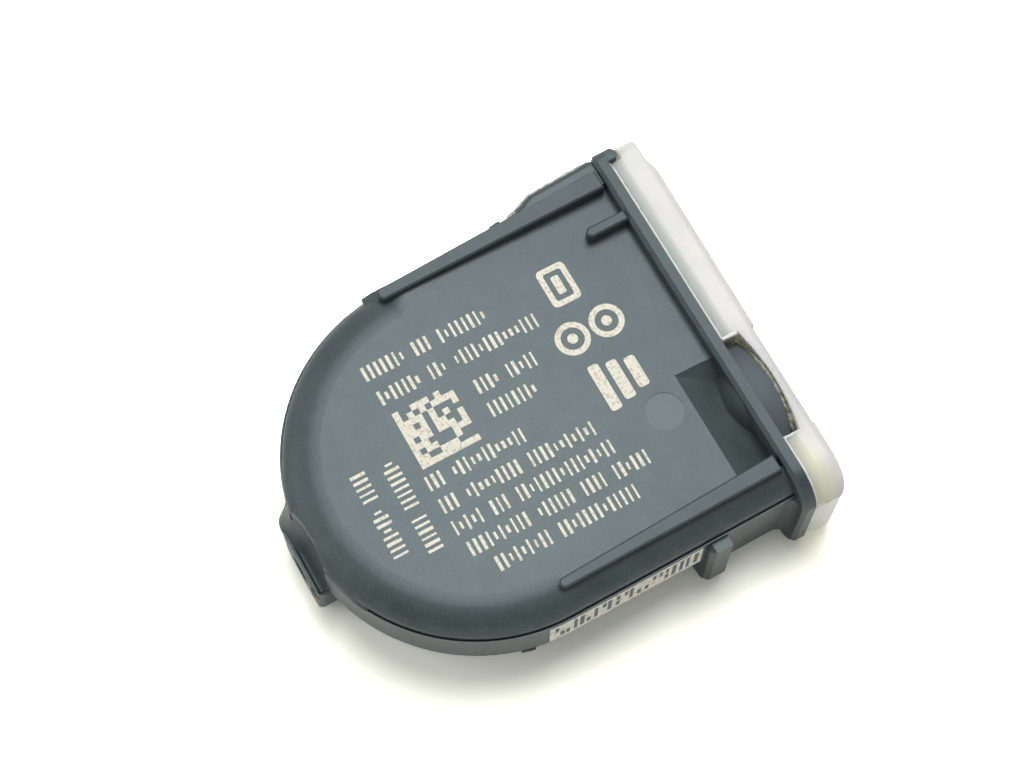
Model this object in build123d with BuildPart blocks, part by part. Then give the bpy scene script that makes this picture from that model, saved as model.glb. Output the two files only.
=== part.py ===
from build123d import *
import math
import os

os.makedirs("parts", exist_ok=True)

# Tyre pressure sensor, lying on its belly with the label face up.
# The origin is on the rest face, under the centre of the round end.
# +X runs from the valve lug to the capped mouth, +Z is up, lengths are in mm.

# Housing: plan and section
body_radius = 17.6          # round end, and half the width of the straight part
mouth_x = 22.6              # inner face of the flange
parting_z = 11.3            # mould parting line above the rest face
skirt_depth = 5.4           # upright wall below the parting line
skirt_edge = 0.35           # broken lower edge of the wall
belly_half_width = 12.5     # flat bottom inside the sloping underside
belly_edge = 1.2            # flat between the belly and the sloping underside
label_rise = 2.1            # flat of the label face above the parting line
roll_width = 3.55           # width of the rolled edge round the label face
groove_width = 0.16         # parting groove, open at the top
groove_depth = 0.35
groove_lip = 0.08           # edge of the wall outside the groove
upright_rise = 0.25         # upright strip above the parting line
plain_angle = 28            # no groove within this angle of the lug's middle

# Housing: label face
rail_rise = 2.75            # rail tops above the parting line
rail_inset = 2.1            # near rail's outer side from the wall
rail_narrow = 0.95          # near rail's width at the round end
rail_wide = 1.65            # near rail's width at the mouth
rail_end_cut = 0.3          # broken corners of a rail's end
rail_edge = 0.15            # broken edge of the rail tops
far_rail_inset = 0.63       # far rail's outer side from the wall at the round end
far_rail_narrow = 1.1
far_rail_wide = 1.9
far_rail_start_x = -1.0
rail_gap = 0.35             # slot between a rail's end and the flange
label_drop = 1.0            # the label face sinks by this towards the mouth
rib_length = 4.1
rib_width = 1.0
rib_y = 12.5
pocket_x = 18.8             # crease where the pocket starts
pocket_far_y = -2.9
pocket_slope = 2.2          # its far end slopes up over this length
pocket_step = 0.12          # depth at the crease
pocket_depth = 1.3          # below the label face at the mouth
pin_mark_x = 16.3           # ejector pin mark
pin_mark_y = -5.4
pin_mark_radius = 1.8
pin_mark_depth = 0.06

# Housing: mouth
flange_thickness = 1.25
flange_overhang = 1.7       # past the side walls
flange_near_round = 3.6     # upper near corner
flange_far_round = 0.9      # upper far corner
flange_bottom_round = 2.0
flange_edge = 0.35          # broken inner edge
flange_line_depth = 0.12    # parting line across the flange's edge
flange_line_height = 0.2
flange_root_round = 1.2     # hollow rounding between a side wall and the flange
mouth_box_start_x = 13.6    # front of the full-depth box at the mouth
mouth_box_inset = 0.22      # its sides inside the wall
mouth_box_lift = 0.35       # its bottom above the rest face
mouth_box_round = 1.5
tab_length = 2.1            # rib round the front of the box, its ends show as tabs
tab_proud = 1.0
tab_edge = 0.45             # broken front edge
tab_top_drop = 0.6          # tab top below the parting line
ear_height = 1.3            # ear at the flange's far corner, lying on the cap
ear_width = 1.35
ear_reach = 1.2
ear_round = 0.35
bulge_y = -7.6              # bulge that crosses the flange, a slice of a ball outside it
bulge_half_width = 4.95
bulge_offset = 1.0          # ball's centre from the flange's inner face
bulge_reach = 3.5           # bulge's outer side from the flange's inner face
bulge_bow = 0.6             # the outer side is bowed by this
bulge_rise = 2.5
bulge_spread = 6.0          # half the ball's width at the bulge's foot
bulge_top_drop = 0.35       # bulge top below the rail tops
pillow_reach = 1.1          # bulge on the label side of the flange, a slice of a ball
pillow_half_width = 3.1
pillow_centre_z = 10.0
pillow_foot_z = 11.5
far_pad_start_x = 12.4      # thickened wall on the far side
far_pad_slope = 3.5
far_pad_taper = 0.3         # narrower by this at the end of the slope
far_pad_inset = 0.1         # pad side inside the flange's edge
far_pad_top_drop = 0.1      # pad top below the label flat
far_pad_height = 7.0
far_pad_round = 0.6

# Housing: valve lug
lug_half_width = 3.85
lug_reach = 18.45           # front face, from the centre of the round end
lug_rim_z = 6.6
lug_rim_thickness = 0.24
lug_lift = 0.4
lug_root_x = 11.0           # the lug starts here, inside the body
lug_foot_round = 2.6
lug_head_round = 0.6        # ends of the rim
lug_corner_round = 0.9      # front corners, seen from above
scoop_floor_z = 5.6
scoop_x = 16.7              # deepest point of the scoop, from the centre of the round end
scoop_edge_x = 17.2         # the scoop meets the round end here
scoop_far_wall = 1.0        # rim at the scoop's far end
screw_radius = 1.6          # pilot for the valve screw
screw_depth = 4.0
screw_z = 3.3

# Housing: inside
wall = 1.8
floor_thickness = 1.5
ceiling_z = 10.4
ledge_z = 6.9               # the board rests here
cell_radius = 10.0
cell_height = 4.5
cell_clearance = 0.6        # round the cell
tower_radius = 2.6          # pressure port tower
tower_height = 2.3
port_radius = 0.9

# End cap
cap_depth = 3.9
cap_lip = 0.18              # thin lip on the flange
cap_valley = 1.15           # valley beside the lip, sloping up to the outer band
cap_valley_depth = 0.45
cap_lift = 0.4              # cap bottom above the rest face
cap_top_drop = 0.35         # cap top below the rail tops
cap_side_inset = 0.05       # cap side inside the flange's edge
cap_round = 0.9
cap_near_round = 3.4        # upper near corner
cap_far_round = 1.4         # upper far corner
cap_foot_round = 1.2
cap_wall = 1.4
cap_taper = 0.5             # shallower by this at the near end
notch_gap = 0.15            # between the bulge or the ear and the cap
notch_end_gap = 0.35        # between the bulge's ends and the notch
facet_depth = 0.7           # shallow facet outside the notch, and at the far end
far_facet_y = 16.5
far_facet_slope = 1.6
plug_length = 1.8
plug_wall = 1.2
plug_clearance = 0.15

# Board and what it carries
board_thickness = 1.0
board_clearance = 0.3
board_end_gap = 0.4         # between the board and the cap's plug
board_corner = 1.0
slot_clearance = 0.15       # round a battery tab in the board
chip_length = 9.0
chip_width = 7.0
chip_height = 2.2
chip_x = 17.0
chip_port_radius = 0.8
chip_port_depth = 0.6
chip_chamfer = 0.25
lead_count = 7
lead_pitch = 1.27
lead_width = 0.45
lead_reach = 1.2
lead_thickness = 0.25
lead_step = 0.6             # lead's riser from the chip's side
seal_inner_radius = 1.2
seal_outer_radius = 2.4
tab_sheet = 0.25            # battery tab sheet
tab_strip_width = 3.0
tab_air = 0.5               # between a tab's riser and the cell
tab_end_rise = 0.6          # tab end above the board
positive_tab_y = 6.0
negative_tab_y = -1.5
negative_pad_length = 8.0
can_step = 0.3              # crimped shoulder of the cell, and the lid above it
lid_inset = 1.0             # negative lid inside the can's edge
positive_pad_reach = 6.0    # positive pad past the cell's centre
coil_x = 3.0
coil_y = 9.0
coil_length = 8.0
coil_width = 2.8
coil_base_height = 0.4
coil_core_height = 1.5
coil_flange_length = 1.2
winding_thickness = 0.3
crystal_length = 3.2
crystal_width = 2.5
crystal_height = 0.8
crystal_foot = 0.3
crystal_lid_inset = 0.2
crystal_x = 15.5
crystal_y = 8.0
antenna_sheet = 0.4
antenna_height = 1.8
antenna_width = 1.2
antenna_inset = 4.5         # from the board's side
antenna_start_x = 0.0
antenna_end_x = 17.0
passive_length = 1.6
passive_width = 0.8
capacitor_height = 0.8
inductor_height = 1.0
resistor_height = 0.5
capacitor_x = 2.0
capacitor_y = -6.0
capacitor_pitch = 2.4
capacitor_columns = 3
capacitor_rows = 2
inductor_x = 15.0
inductor_y = 3.5
inductor_pitch = 2.0
inductor_columns = 2
inductor_rows = 1
resistor_x = 15.5
resistor_y = -5.5
resistor_pitch = 2.0
resistor_columns = 2
resistor_rows = 2

# Worked out from the above
rail_top_z = parting_z + rail_rise
label_z = parting_z + label_rise
label_mouth_z = label_z - label_drop
skirt_z = parting_z - skirt_depth
flange_x = mouth_x + flange_thickness
cavity_radius = body_radius - wall
rail_end_x = mouth_x - rail_gap
near_rail_y = -(body_radius - rail_inset)
far_rail_y = body_radius - far_rail_inset - far_rail_narrow
pocket_edge_z = label_z - label_drop * pocket_x / mouth_x - pocket_step
pocket_floor_z = label_mouth_z - pocket_depth
pocket_near_y = near_rail_y + rail_narrow / 2
flange_half_width = body_radius + flange_overhang
far_pad_y = flange_half_width - far_pad_inset
groove_outer = body_radius - groove_lip
shell_radius = groove_outer - groove_width
groove_z = parting_z - groove_depth
side_y = body_radius - mouth_box_inset
bulge_x = mouth_x + bulge_offset
bulge_end_x = mouth_x + bulge_reach
bulge_foot_z = rail_top_z - bulge_top_drop - bulge_rise
bulge_radius = (bulge_spread**2 + bulge_rise**2) / (2 * bulge_rise)
ear_y = flange_half_width - ear_width
ear_z = rail_top_z - ear_height
pillow_foot_radius = (pillow_half_width**2 + pillow_reach**2) / (2 * pillow_reach)
pillow_radius = math.hypot(pillow_foot_radius, pillow_foot_z - pillow_centre_z)
pillow_x = mouth_x - pillow_reach + pillow_foot_radius
root_x = mouth_x - flange_root_round
root_y = side_y + flange_root_round
cell_pocket = cell_radius + cell_clearance
cell_z = floor_thickness + tab_sheet
cell_top_z = cell_z + cell_height
board_top_z = ledge_z + board_thickness
board_radius = cavity_radius - board_clearance
antenna_y = antenna_inset - board_radius
plug_start_x = flange_x - plug_length
board_end_x = plug_start_x - board_end_gap
tower_top_z = floor_thickness + tower_height
chip_bottom_z = ledge_z - chip_height
chip_middle_z = ledge_z - chip_height / 2
riser_x = cell_radius + tab_air + tab_sheet / 2
coil_z = board_top_z + coil_base_height
waist_length = coil_length - 2 * coil_flange_length
waist_width = coil_width - 2 * winding_thickness
waist_height = coil_core_height - 2 * winding_thickness
rim_back_x = -lug_reach + lug_rim_thickness
scoop_near_y = lug_rim_thickness - lug_half_width
scoop_far_y = lug_half_width - scoop_far_wall
cap_half_width = flange_half_width - cap_side_inset
cap_top_z = rail_top_z - cap_top_drop
cap_end_x = flange_x + cap_depth
valley_angle = math.degrees(math.atan2(cap_valley_depth, cap_valley))
notch_floor_z = bulge_foot_z - notch_gap
notch_half_width = bulge_half_width + notch_end_gap
hollow_top_z = ceiling_z - plug_clearance - plug_wall
clear_z = 2 * rail_top_z    # above everything
label_plane = Plane(origin=(0, 0, label_z), x_dir=(mouth_x, 0, -label_drop), z_dir=(label_drop, 0, mouth_x))
plain_start = math.radians(180 - plain_angle)
plain_plane = Plane(
    origin=(0, 0, 0),
    x_dir=(math.cos(plain_start), math.sin(plain_start), 0),
    z_dir=(math.sin(plain_start), -math.cos(plain_start), 0),
)


def d_outline(plane, radius, end_x):
    # half circle about the origin, with straight sides running to end_x
    with BuildSketch(plane) as outline:
        with BuildLine():
            CenterArc((0, 0), radius, 90, 180)
            Polyline((0, -radius), (end_x, -radius), (end_x, radius), (0, radius))
        make_face()
    return outline.sketch


def mouth_outline(plane, half_width, bottom, top, foot_round, near_round=0, far_round=0):
    # rectangle across the mouth, rounded at the foot and perhaps at the upper corners
    with BuildSketch(plane) as outline:
        with BuildLine():
            Polyline(
                (-half_width, bottom), (half_width, bottom), (half_width, top), (-half_width, top), close=True
            )
        make_face()
        fillet(outline.vertices().group_by(Axis.Y)[0], radius=foot_round)
        if near_round:
            fillet(outline.vertices().group_by(Axis.Y)[-1].sort_by(Axis.X)[0], radius=near_round)
        if far_round:
            fillet(outline.vertices().group_by(Axis.Y)[-1].sort_by(Axis.X)[-1], radius=far_round)
    return outline.sketch


def bowed_outline(plane, end_x, half_width):
    # from the flange's inner face to a bowed outer side
    with BuildSketch(plane) as outline:
        with BuildLine():
            Polyline(
                (end_x - bulge_bow, bulge_y + half_width),
                (mouth_x, bulge_y + half_width),
                (mouth_x, bulge_y - half_width),
                (end_x - bulge_bow, bulge_y - half_width),
            )
            ThreePointArc(
                (end_x - bulge_bow, bulge_y - half_width),
                (end_x, bulge_y),
                (end_x - bulge_bow, bulge_y + half_width),
            )
        make_face()
    return outline.sketch


def across(x):
    # plane facing +X at x, with its own x along +Y and its own y along +Z
    return Plane(origin=(x, 0, 0), x_dir=(0, 1, 0), z_dir=(1, 0, 0))


def along(y):
    # plane facing -Y at y, with its own x along +X and its own y along +Z
    return Plane(origin=(0, y, 0), x_dir=(1, 0, 0), z_dir=(0, -1, 0))


# Rails and the short rib
with BuildPart() as rails:
    with BuildSketch(Plane.XY.offset(parting_z)) as near_rail:
        with BuildLine():
            Polyline(
                (0, near_rail_y),
                (rail_end_x, near_rail_y),
                (rail_end_x, near_rail_y + rail_wide),
                (0, near_rail_y + rail_narrow),
                close=True,
            )
        make_face()
        chamfer(near_rail.vertices().group_by(Axis.X)[0], length=rail_end_cut)
    extrude(amount=rail_rise)
    with BuildSketch(Plane.XY.offset(parting_z)) as far_rail:
        with BuildLine():
            Polyline(
                (far_rail_start_x, far_rail_y),
                (rail_end_x, far_rail_y),
                (rail_end_x, far_rail_y + far_rail_wide),
                (far_rail_start_x, far_rail_y + far_rail_narrow),
                close=True,
            )
        make_face()
        chamfer(far_rail.vertices().group_by(Axis.X)[0], length=rail_end_cut)
    extrude(amount=rail_rise)
    with BuildSketch(Plane.XY.offset(parting_z)) as short_rib:
        with Locations((mouth_x - rib_length / 2, rib_y)):
            Rectangle(rib_length, rib_width)
        chamfer(short_rib.vertices().group_by(Axis.X)[0], length=rail_end_cut)
    extrude(amount=rail_rise)
    chamfer(rails.edges().group_by(Axis.Z)[-1], length=rail_edge)

# Flange round the mouth
with BuildPart() as flange:
    extrude(
        mouth_outline(
            across(mouth_x),
            flange_half_width,
            0,
            rail_top_z,
            flange_bottom_round,
            flange_near_round,
            flange_far_round,
        ),
        amount=flange_thickness,
    )
    chamfer(flange.faces().sort_by(Axis.X)[0].edges(), length=flange_edge)
    # parting line across both edges
    with BuildSketch(across(mouth_x)):
        with Locations((-flange_half_width, parting_z), (flange_half_width, parting_z)):
            Rectangle(2 * flange_line_depth, flange_line_height)
    extrude(amount=flange_thickness, mode=Mode.SUBTRACT)

# Ear at the flange's far corner
with BuildPart() as ear:
    with BuildSketch(across(mouth_x + flange_edge)) as ear_section:
        with Locations((flange_half_width - ear_width / 2, rail_top_z - ear_height / 2)):
            Rectangle(ear_width, ear_height)
        fillet(ear_section.vertices().sort_by(Axis.X)[-2:].sort_by(Axis.Y)[-1], radius=flange_far_round)
    extrude(amount=flange_thickness - flange_edge + ear_reach)
    chamfer(ear.faces().sort_by(Axis.X)[-1].edges(), length=ear_round)

# Bulge outside the flange, a slice of a ball with a bowed outer side
with BuildPart() as bulge:
    with Locations((bulge_x, bulge_y, bulge_foot_z + bulge_rise - bulge_radius)):
        Sphere(bulge_radius)
    extrude(
        bowed_outline(Plane.XY.offset(bulge_foot_z), bulge_end_x, bulge_half_width),
        amount=bulge_rise,
        mode=Mode.INTERSECT,
    )

# Bulge on the label side of the flange
with BuildPart() as pillow:
    with Locations((pillow_x, bulge_y, pillow_centre_z)):
        Sphere(pillow_radius)
    with BuildSketch(Plane.XY.offset(ceiling_z)):
        with Locations((mouth_x - pillow_reach, bulge_y)):
            Rectangle(2 * (pillow_reach + flange_edge), 2 * pillow_radius)
    extrude(amount=pillow_radius, mode=Mode.INTERSECT)

# Thickened far wall
with BuildPart() as far_pad:
    with BuildSketch(Plane.XY.offset(label_z - far_pad_top_drop)):
        with BuildLine():
            Polyline(
                (far_pad_start_x, cavity_radius),
                (far_pad_start_x, side_y),
                (far_pad_start_x + far_pad_slope, far_pad_y - far_pad_taper),
                (mouth_x, far_pad_y),
                (mouth_x, cavity_radius),
                close=True,
            )
        make_face()
    extrude(amount=-far_pad_height)
    fillet(far_pad.edges().group_by(Axis.Z)[-1].sort_by(Axis.Y)[-2:], radius=far_pad_round)

# Pocket beside the flange, deepening towards it and sloping up at its far end
with BuildPart() as pocket:
    with BuildSketch(along(pocket_far_y)):
        with BuildLine():
            Polyline(
                (pocket_x, pocket_edge_z),
                (mouth_x, pocket_floor_z),
                (mouth_x, clear_z),
                (pocket_x, clear_z),
                close=True,
            )
        make_face()
    extrude(amount=pocket_far_y - pocket_near_y)
    with BuildSketch(across(pocket_x)):
        with BuildLine():
            Polyline(
                (pocket_near_y, pocket_floor_z),
                (pocket_far_y - pocket_slope, pocket_floor_z),
                (pocket_far_y, pocket_edge_z),
                (pocket_far_y, clear_z),
                (pocket_near_y, clear_z),
                close=True,
            )
        make_face()
    extrude(amount=mouth_x - pocket_x, mode=Mode.INTERSECT)

# Rib round the front of the mouth box
with BuildPart() as mouth_rib:
    extrude(
        mouth_outline(
            across(mouth_box_start_x),
            body_radius + tab_proud,
            mouth_box_lift,
            parting_z - tab_top_drop,
            mouth_box_round,
        ),
        amount=tab_length,
    )
    chamfer(mouth_rib.faces().sort_by(Axis.X)[0].edges(), length=tab_edge)

# Valve lug, rounded at its lower corners and its front corners
with BuildPart() as lug:
    extrude(
        mouth_outline(
            across(-lug_reach),
            lug_half_width,
            lug_lift,
            lug_rim_z,
            lug_foot_round,
            lug_head_round,
            lug_head_round,
        ),
        amount=lug_reach - lug_root_x,
    )
    with BuildSketch(Plane.XY) as lug_plan:
        with Locations((-(lug_reach + lug_root_x) / 2, 0)):
            Rectangle(lug_reach - lug_root_x, 2 * lug_half_width)
        fillet(lug_plan.vertices().group_by(Axis.X)[0], radius=lug_corner_round)
    extrude(amount=lug_rim_z, mode=Mode.INTERSECT)

# Housing
with BuildPart() as housing:
    # one section carried round the end and along the sides
    with BuildSketch(across(0)) as half_section:
        with BuildLine():
            Polyline(
                (0, 0),
                (belly_half_width, 0),
                (body_radius, skirt_z),
                (body_radius, parting_z),
                (groove_outer, parting_z),
                (groove_outer, groove_z),
                (shell_radius, groove_z),
                (shell_radius, parting_z + upright_rise),
            )
            EllipticalCenterArc(
                (shell_radius - roll_width, parting_z + upright_rise),
                roll_width,
                label_rise - upright_rise,
                0,
                arc_size=90,
            )
            Polyline((shell_radius - roll_width, label_z), (0, label_z), (0, 0))
        make_face()
        chamfer(half_section.vertices().sort_by_distance((belly_half_width, 0))[0], length=belly_edge)
        chamfer(half_section.vertices().sort_by_distance((body_radius, skirt_z))[0], length=skirt_edge)
    revolve(axis=Axis.Z, revolution_arc=180)
    with BuildSketch(across(0)):
        add(half_section.sketch_local)
        mirror(about=Plane.YZ)
    extrude(amount=mouth_x)
    # plain stretch of the parting line beside the lug
    with BuildSketch(plain_plane):
        with BuildLine():
            Polyline(
                (shell_radius - groove_width, groove_z),
                (body_radius, groove_z),
                (body_radius, parting_z),
                (shell_radius, parting_z + upright_rise / 2),
                (shell_radius - groove_width, parting_z + upright_rise / 2),
                close=True,
            )
        make_face()
    revolve(axis=Axis.Z, revolution_arc=2 * plain_angle)
    # full-depth box at the mouth, with a rib round its front
    extrude(
        mouth_outline(
            across(mouth_box_start_x),
            side_y,
            mouth_box_lift,
            groove_z,
            mouth_box_round,
        ),
        amount=mouth_x - mouth_box_start_x,
    )
    add(mouth_rib.part)
    # hollow roundings at the foot of the flange
    with BuildSketch(Plane.XY.offset(groove_z)):
        with BuildLine():
            Polyline((root_x, side_y), (mouth_x, side_y), (mouth_x, root_y))
            CenterArc((root_x, root_y), flange_root_round, -90, 90)
        make_face()
        mirror(about=Plane.XZ)
    extrude(amount=mouth_box_lift + mouth_box_round - groove_z)
    add(far_pad.part)
    # label face sinks towards the mouth between the rails
    with BuildSketch(along(far_rail_y + far_rail_narrow / 2)):
        with BuildLine():
            Polyline((0, label_z), (mouth_x, label_mouth_z), (mouth_x, clear_z), (0, clear_z), close=True)
        make_face()
    extrude(amount=far_rail_y + far_rail_narrow / 2 - pocket_near_y, mode=Mode.SUBTRACT)
    add(pocket.part, mode=Mode.SUBTRACT)
    # ejector pin mark
    with BuildSketch(label_plane.offset(-pin_mark_depth)):
        with Locations((pin_mark_x, pin_mark_y)):
            Circle(pin_mark_radius)
    extrude(amount=label_rise, mode=Mode.SUBTRACT)
    add(rails.part)
    add(flange.part)
    add(ear.part)
    add(bulge.part)
    add(pillow.part)
    add(lug.part)
    # scoop behind the rim
    with BuildSketch(Plane.XY.offset(scoop_floor_z)):
        with BuildLine():
            ThreePointArc((-scoop_edge_x, scoop_near_y), (-scoop_x, 0), (-scoop_edge_x, scoop_far_y))
            Polyline(
                (-scoop_edge_x, scoop_far_y),
                (rim_back_x, scoop_far_y),
                (rim_back_x, scoop_near_y),
                (-scoop_edge_x, scoop_near_y),
            )
        make_face()
    extrude(amount=clear_z, mode=Mode.SUBTRACT)
    with BuildSketch(across(-lug_reach)):
        with Locations((0, screw_z)):
            Circle(screw_radius)
    extrude(amount=screw_depth, mode=Mode.SUBTRACT)
    # inside: board space, cell pocket and mouth
    extrude(
        d_outline(Plane.XY.offset(ledge_z), cavity_radius, flange_x),
        amount=ceiling_z - ledge_z,
        mode=Mode.SUBTRACT,
    )
    extrude(
        d_outline(Plane.XY.offset(floor_thickness), cell_pocket, flange_x),
        amount=ledge_z - floor_thickness,
        mode=Mode.SUBTRACT,
    )
    with BuildSketch(across(mouth_box_start_x + wall)):
        with Locations((0, (floor_thickness + ledge_z) / 2)):
            Rectangle(2 * cavity_radius, ledge_z - floor_thickness)
    extrude(amount=flange_x - mouth_box_start_x - wall, mode=Mode.SUBTRACT)
    # pressure port tower
    with BuildSketch(Plane.XY.offset(floor_thickness)):
        with Locations((chip_x, 0)):
            Circle(tower_radius)
    extrude(amount=tower_height)
    with BuildSketch(Plane.XY):
        with Locations((chip_x, 0)):
            Circle(port_radius)
    extrude(amount=tower_top_z, mode=Mode.SUBTRACT)

housing.part.label = "housing"
export_step(housing.part, "parts/housing.step")

# End cap
with BuildPart() as end_cap:
    extrude(
        mouth_outline(
            across(flange_x),
            cap_half_width,
            cap_lift,
            cap_top_z,
            cap_foot_round,
            cap_near_round,
            cap_far_round,
        ),
        amount=cap_lip,
    )
    extrude(
        mouth_outline(
            across(flange_x + cap_lip),
            cap_half_width - cap_valley_depth,
            cap_lift + cap_valley_depth,
            cap_top_z - cap_valley_depth,
            cap_foot_round - cap_valley_depth,
            cap_near_round - cap_valley_depth,
            cap_far_round - cap_valley_depth,
        ),
        amount=cap_valley,
        taper=-valley_angle,
    )
    extrude(
        mouth_outline(
            across(flange_x + cap_lip + cap_valley),
            cap_half_width,
            cap_lift,
            cap_top_z,
            cap_foot_round,
            cap_near_round,
            cap_far_round,
        ),
        amount=cap_depth - cap_lip - cap_valley,
    )
    with BuildSketch(Plane.XY):
        with BuildLine():
            Polyline(
                (cap_end_x, cap_half_width),
                (cap_end_x - cap_taper, -cap_half_width),
                (cap_end_x, -cap_half_width),
                close=True,
            )
        make_face()
    extrude(amount=clear_z, mode=Mode.SUBTRACT)
    fillet(end_cap.faces().sort_by(Axis.X)[-1].edges(), radius=cap_round)
    # bowed notch for the bulge, and the ear's place at the far corner
    extrude(
        bowed_outline(Plane.XY.offset(notch_floor_z), bulge_end_x + notch_gap, notch_half_width),
        amount=clear_z,
        mode=Mode.SUBTRACT,
    )
    with BuildSketch(across(flange_x)):
        with Locations((ear_y - notch_gap + ear_width, ear_z - notch_gap + ear_height)):
            Rectangle(2 * ear_width, 2 * ear_height)
    extrude(amount=ear_reach + notch_gap, mode=Mode.SUBTRACT)
    # facets outside the notch and at the far end
    with BuildSketch(across(cap_end_x - facet_depth)):
        with Locations((bulge_y, notch_floor_z + clear_z / 2)):
            Rectangle(2 * notch_half_width, clear_z)
    extrude(amount=facet_depth, mode=Mode.SUBTRACT)
    with BuildSketch(Plane.XY):
        with BuildLine():
            Polyline(
                (cap_end_x, far_facet_y - far_facet_slope),
                (cap_end_x, flange_half_width),
                (cap_end_x - facet_depth, flange_half_width),
                (cap_end_x - facet_depth, far_facet_y),
                close=True,
            )
        make_face()
    extrude(amount=clear_z, mode=Mode.SUBTRACT)
    # hollow behind, and the plug that enters the mouth
    extrude(
        mouth_outline(
            across(plug_start_x),
            cavity_radius - plug_clearance,
            floor_thickness + plug_clearance,
            ceiling_z - plug_clearance,
            plug_wall,
            plug_wall,
            plug_wall,
        ),
        amount=plug_length,
    )
    with BuildSketch(across(plug_start_x)):
        with Locations((0, (floor_thickness + plug_wall + hollow_top_z) / 2)):
            Rectangle(
                2 * (cavity_radius - plug_clearance - plug_wall), hollow_top_z - floor_thickness - plug_wall
            )
    extrude(amount=plug_length + cap_depth - cap_wall, mode=Mode.SUBTRACT)

end_cap.part.label = "end_cap"
export_step(end_cap.part, "parts/end_cap.step")

# Circuit board, resting on the ledge round the cell pocket
with BuildPart() as circuit_board:
    extrude(d_outline(Plane.XY.offset(ledge_z), board_radius, board_end_x), amount=board_thickness)
    fillet(circuit_board.edges().filter_by(Axis.Z).group_by(Axis.X)[-1], radius=board_corner)
    with BuildSketch(Plane.XY.offset(ledge_z)):
        with Locations((riser_x, positive_tab_y), (riser_x, negative_tab_y)):
            Rectangle(tab_sheet + 2 * slot_clearance, tab_strip_width + 2 * slot_clearance)
    extrude(amount=board_thickness, mode=Mode.SUBTRACT)

circuit_board.part.label = "circuit_board"
export_step(circuit_board.part, "parts/circuit_board.step")

# Coin cell: a can with a crimped shoulder and a lid on top
with BuildPart() as coin_cell:
    with BuildSketch(across(0)):
        with BuildLine():
            Polyline(
                (0, cell_z),
                (cell_radius, cell_z),
                (cell_radius, cell_top_z - 2 * can_step),
                (cell_radius - can_step, cell_top_z - can_step),
                (cell_radius - lid_inset, cell_top_z - can_step),
                (cell_radius - lid_inset, cell_top_z),
                (0, cell_top_z),
                close=True,
            )
        make_face()
    revolve(axis=Axis.Z)

coin_cell.part.label = "coin_cell"
export_step(coin_cell.part, "parts/coin_cell.step")


def battery_tab(name, pad_z, pad_start_x, y):
    # flat pad on the cell, bent up past its edge and through the board
    with BuildPart() as tab:
        with BuildSketch(along(y + tab_strip_width / 2)):
            with BuildLine():
                Polyline(
                    (pad_start_x, pad_z),
                    (riser_x + tab_sheet / 2, pad_z),
                    (riser_x + tab_sheet / 2, board_top_z + tab_end_rise),
                    (riser_x - tab_sheet / 2, board_top_z + tab_end_rise),
                    (riser_x - tab_sheet / 2, pad_z + tab_sheet),
                    (pad_start_x, pad_z + tab_sheet),
                    close=True,
                )
            make_face()
        extrude(amount=tab_strip_width)
    tab.part.label = name
    export_step(tab.part, f"parts/{name}.step")


battery_tab("positive_tab", floor_thickness, -positive_pad_reach, positive_tab_y)
battery_tab("negative_tab", cell_top_z, riser_x - negative_pad_length, negative_tab_y)

# Pressure chip under the board, its port facing the tower
with BuildPart() as sensor_chip:
    with BuildSketch(Plane.XY.offset(ledge_z - lead_thickness)):
        with Locations((chip_x, 0)):
            Rectangle(chip_length, chip_width)
    extrude(amount=lead_thickness - chip_height)
    chamfer(sensor_chip.edges().group_by(Axis.Z)[0], length=chip_chamfer)
    with BuildSketch(Plane.XY.offset(chip_bottom_z)):
        with Locations((chip_x, 0)):
            Circle(chip_port_radius)
    extrude(amount=chip_port_depth, mode=Mode.SUBTRACT)
    # leads along both sides, bent up to the board
    for number in range(lead_count):
        lead_x = chip_x + (number - (lead_count - 1) / 2) * lead_pitch
        with BuildSketch(across(lead_x - lead_width / 2)):
            with BuildLine():
                Polyline(
                    (0, chip_middle_z),
                    (chip_width / 2 + lead_step, chip_middle_z),
                    (chip_width / 2 + lead_step, ledge_z - lead_thickness),
                    (chip_width / 2 + lead_reach, ledge_z - lead_thickness),
                    (chip_width / 2 + lead_reach, ledge_z),
                    (chip_width / 2 + lead_step - lead_thickness, ledge_z),
                    (chip_width / 2 + lead_step - lead_thickness, chip_middle_z + lead_thickness),
                    (0, chip_middle_z + lead_thickness),
                    close=True,
                )
            make_face()
            mirror(about=Plane.YZ)
        extrude(amount=lead_width)

sensor_chip.part.label = "sensor_chip"
export_step(sensor_chip.part, "parts/sensor_chip.step")

# Seal between the chip and the port tower
with BuildPart() as port_seal:
    with BuildSketch(Plane.XY.offset(tower_top_z)):
        with Locations((chip_x, 0)):
            Circle(seal_outer_radius)
            Circle(seal_inner_radius, mode=Mode.SUBTRACT)
    extrude(amount=chip_bottom_z - tower_top_z)

port_seal.part.label = "port_seal"
export_step(port_seal.part, "parts/port_seal.step")

# Wake-up coil: base, dumb-bell core and winding
with BuildPart() as coil_base:
    with BuildSketch(Plane.XY.offset(board_top_z)):
        with Locations((coil_x, coil_y)):
            Rectangle(coil_length, coil_width)
    extrude(amount=coil_base_height)

coil_base.part.label = "coil_base"
export_step(coil_base.part, "parts/coil_base.step")

with BuildPart() as coil_core:
    with BuildSketch(Plane.XY.offset(coil_z)):
        with Locations((coil_x, coil_y)):
            Rectangle(coil_length, coil_width)
    extrude(amount=coil_core_height)
    # waist for the wire
    with BuildSketch(across(coil_x - waist_length / 2)):
        with Locations((coil_y, coil_z + coil_core_height / 2)):
            Rectangle(coil_width, coil_core_height)
            Rectangle(waist_width, waist_height, mode=Mode.SUBTRACT)
    extrude(amount=waist_length, mode=Mode.SUBTRACT)

coil_core.part.label = "coil_core"
export_step(coil_core.part, "parts/coil_core.step")

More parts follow.
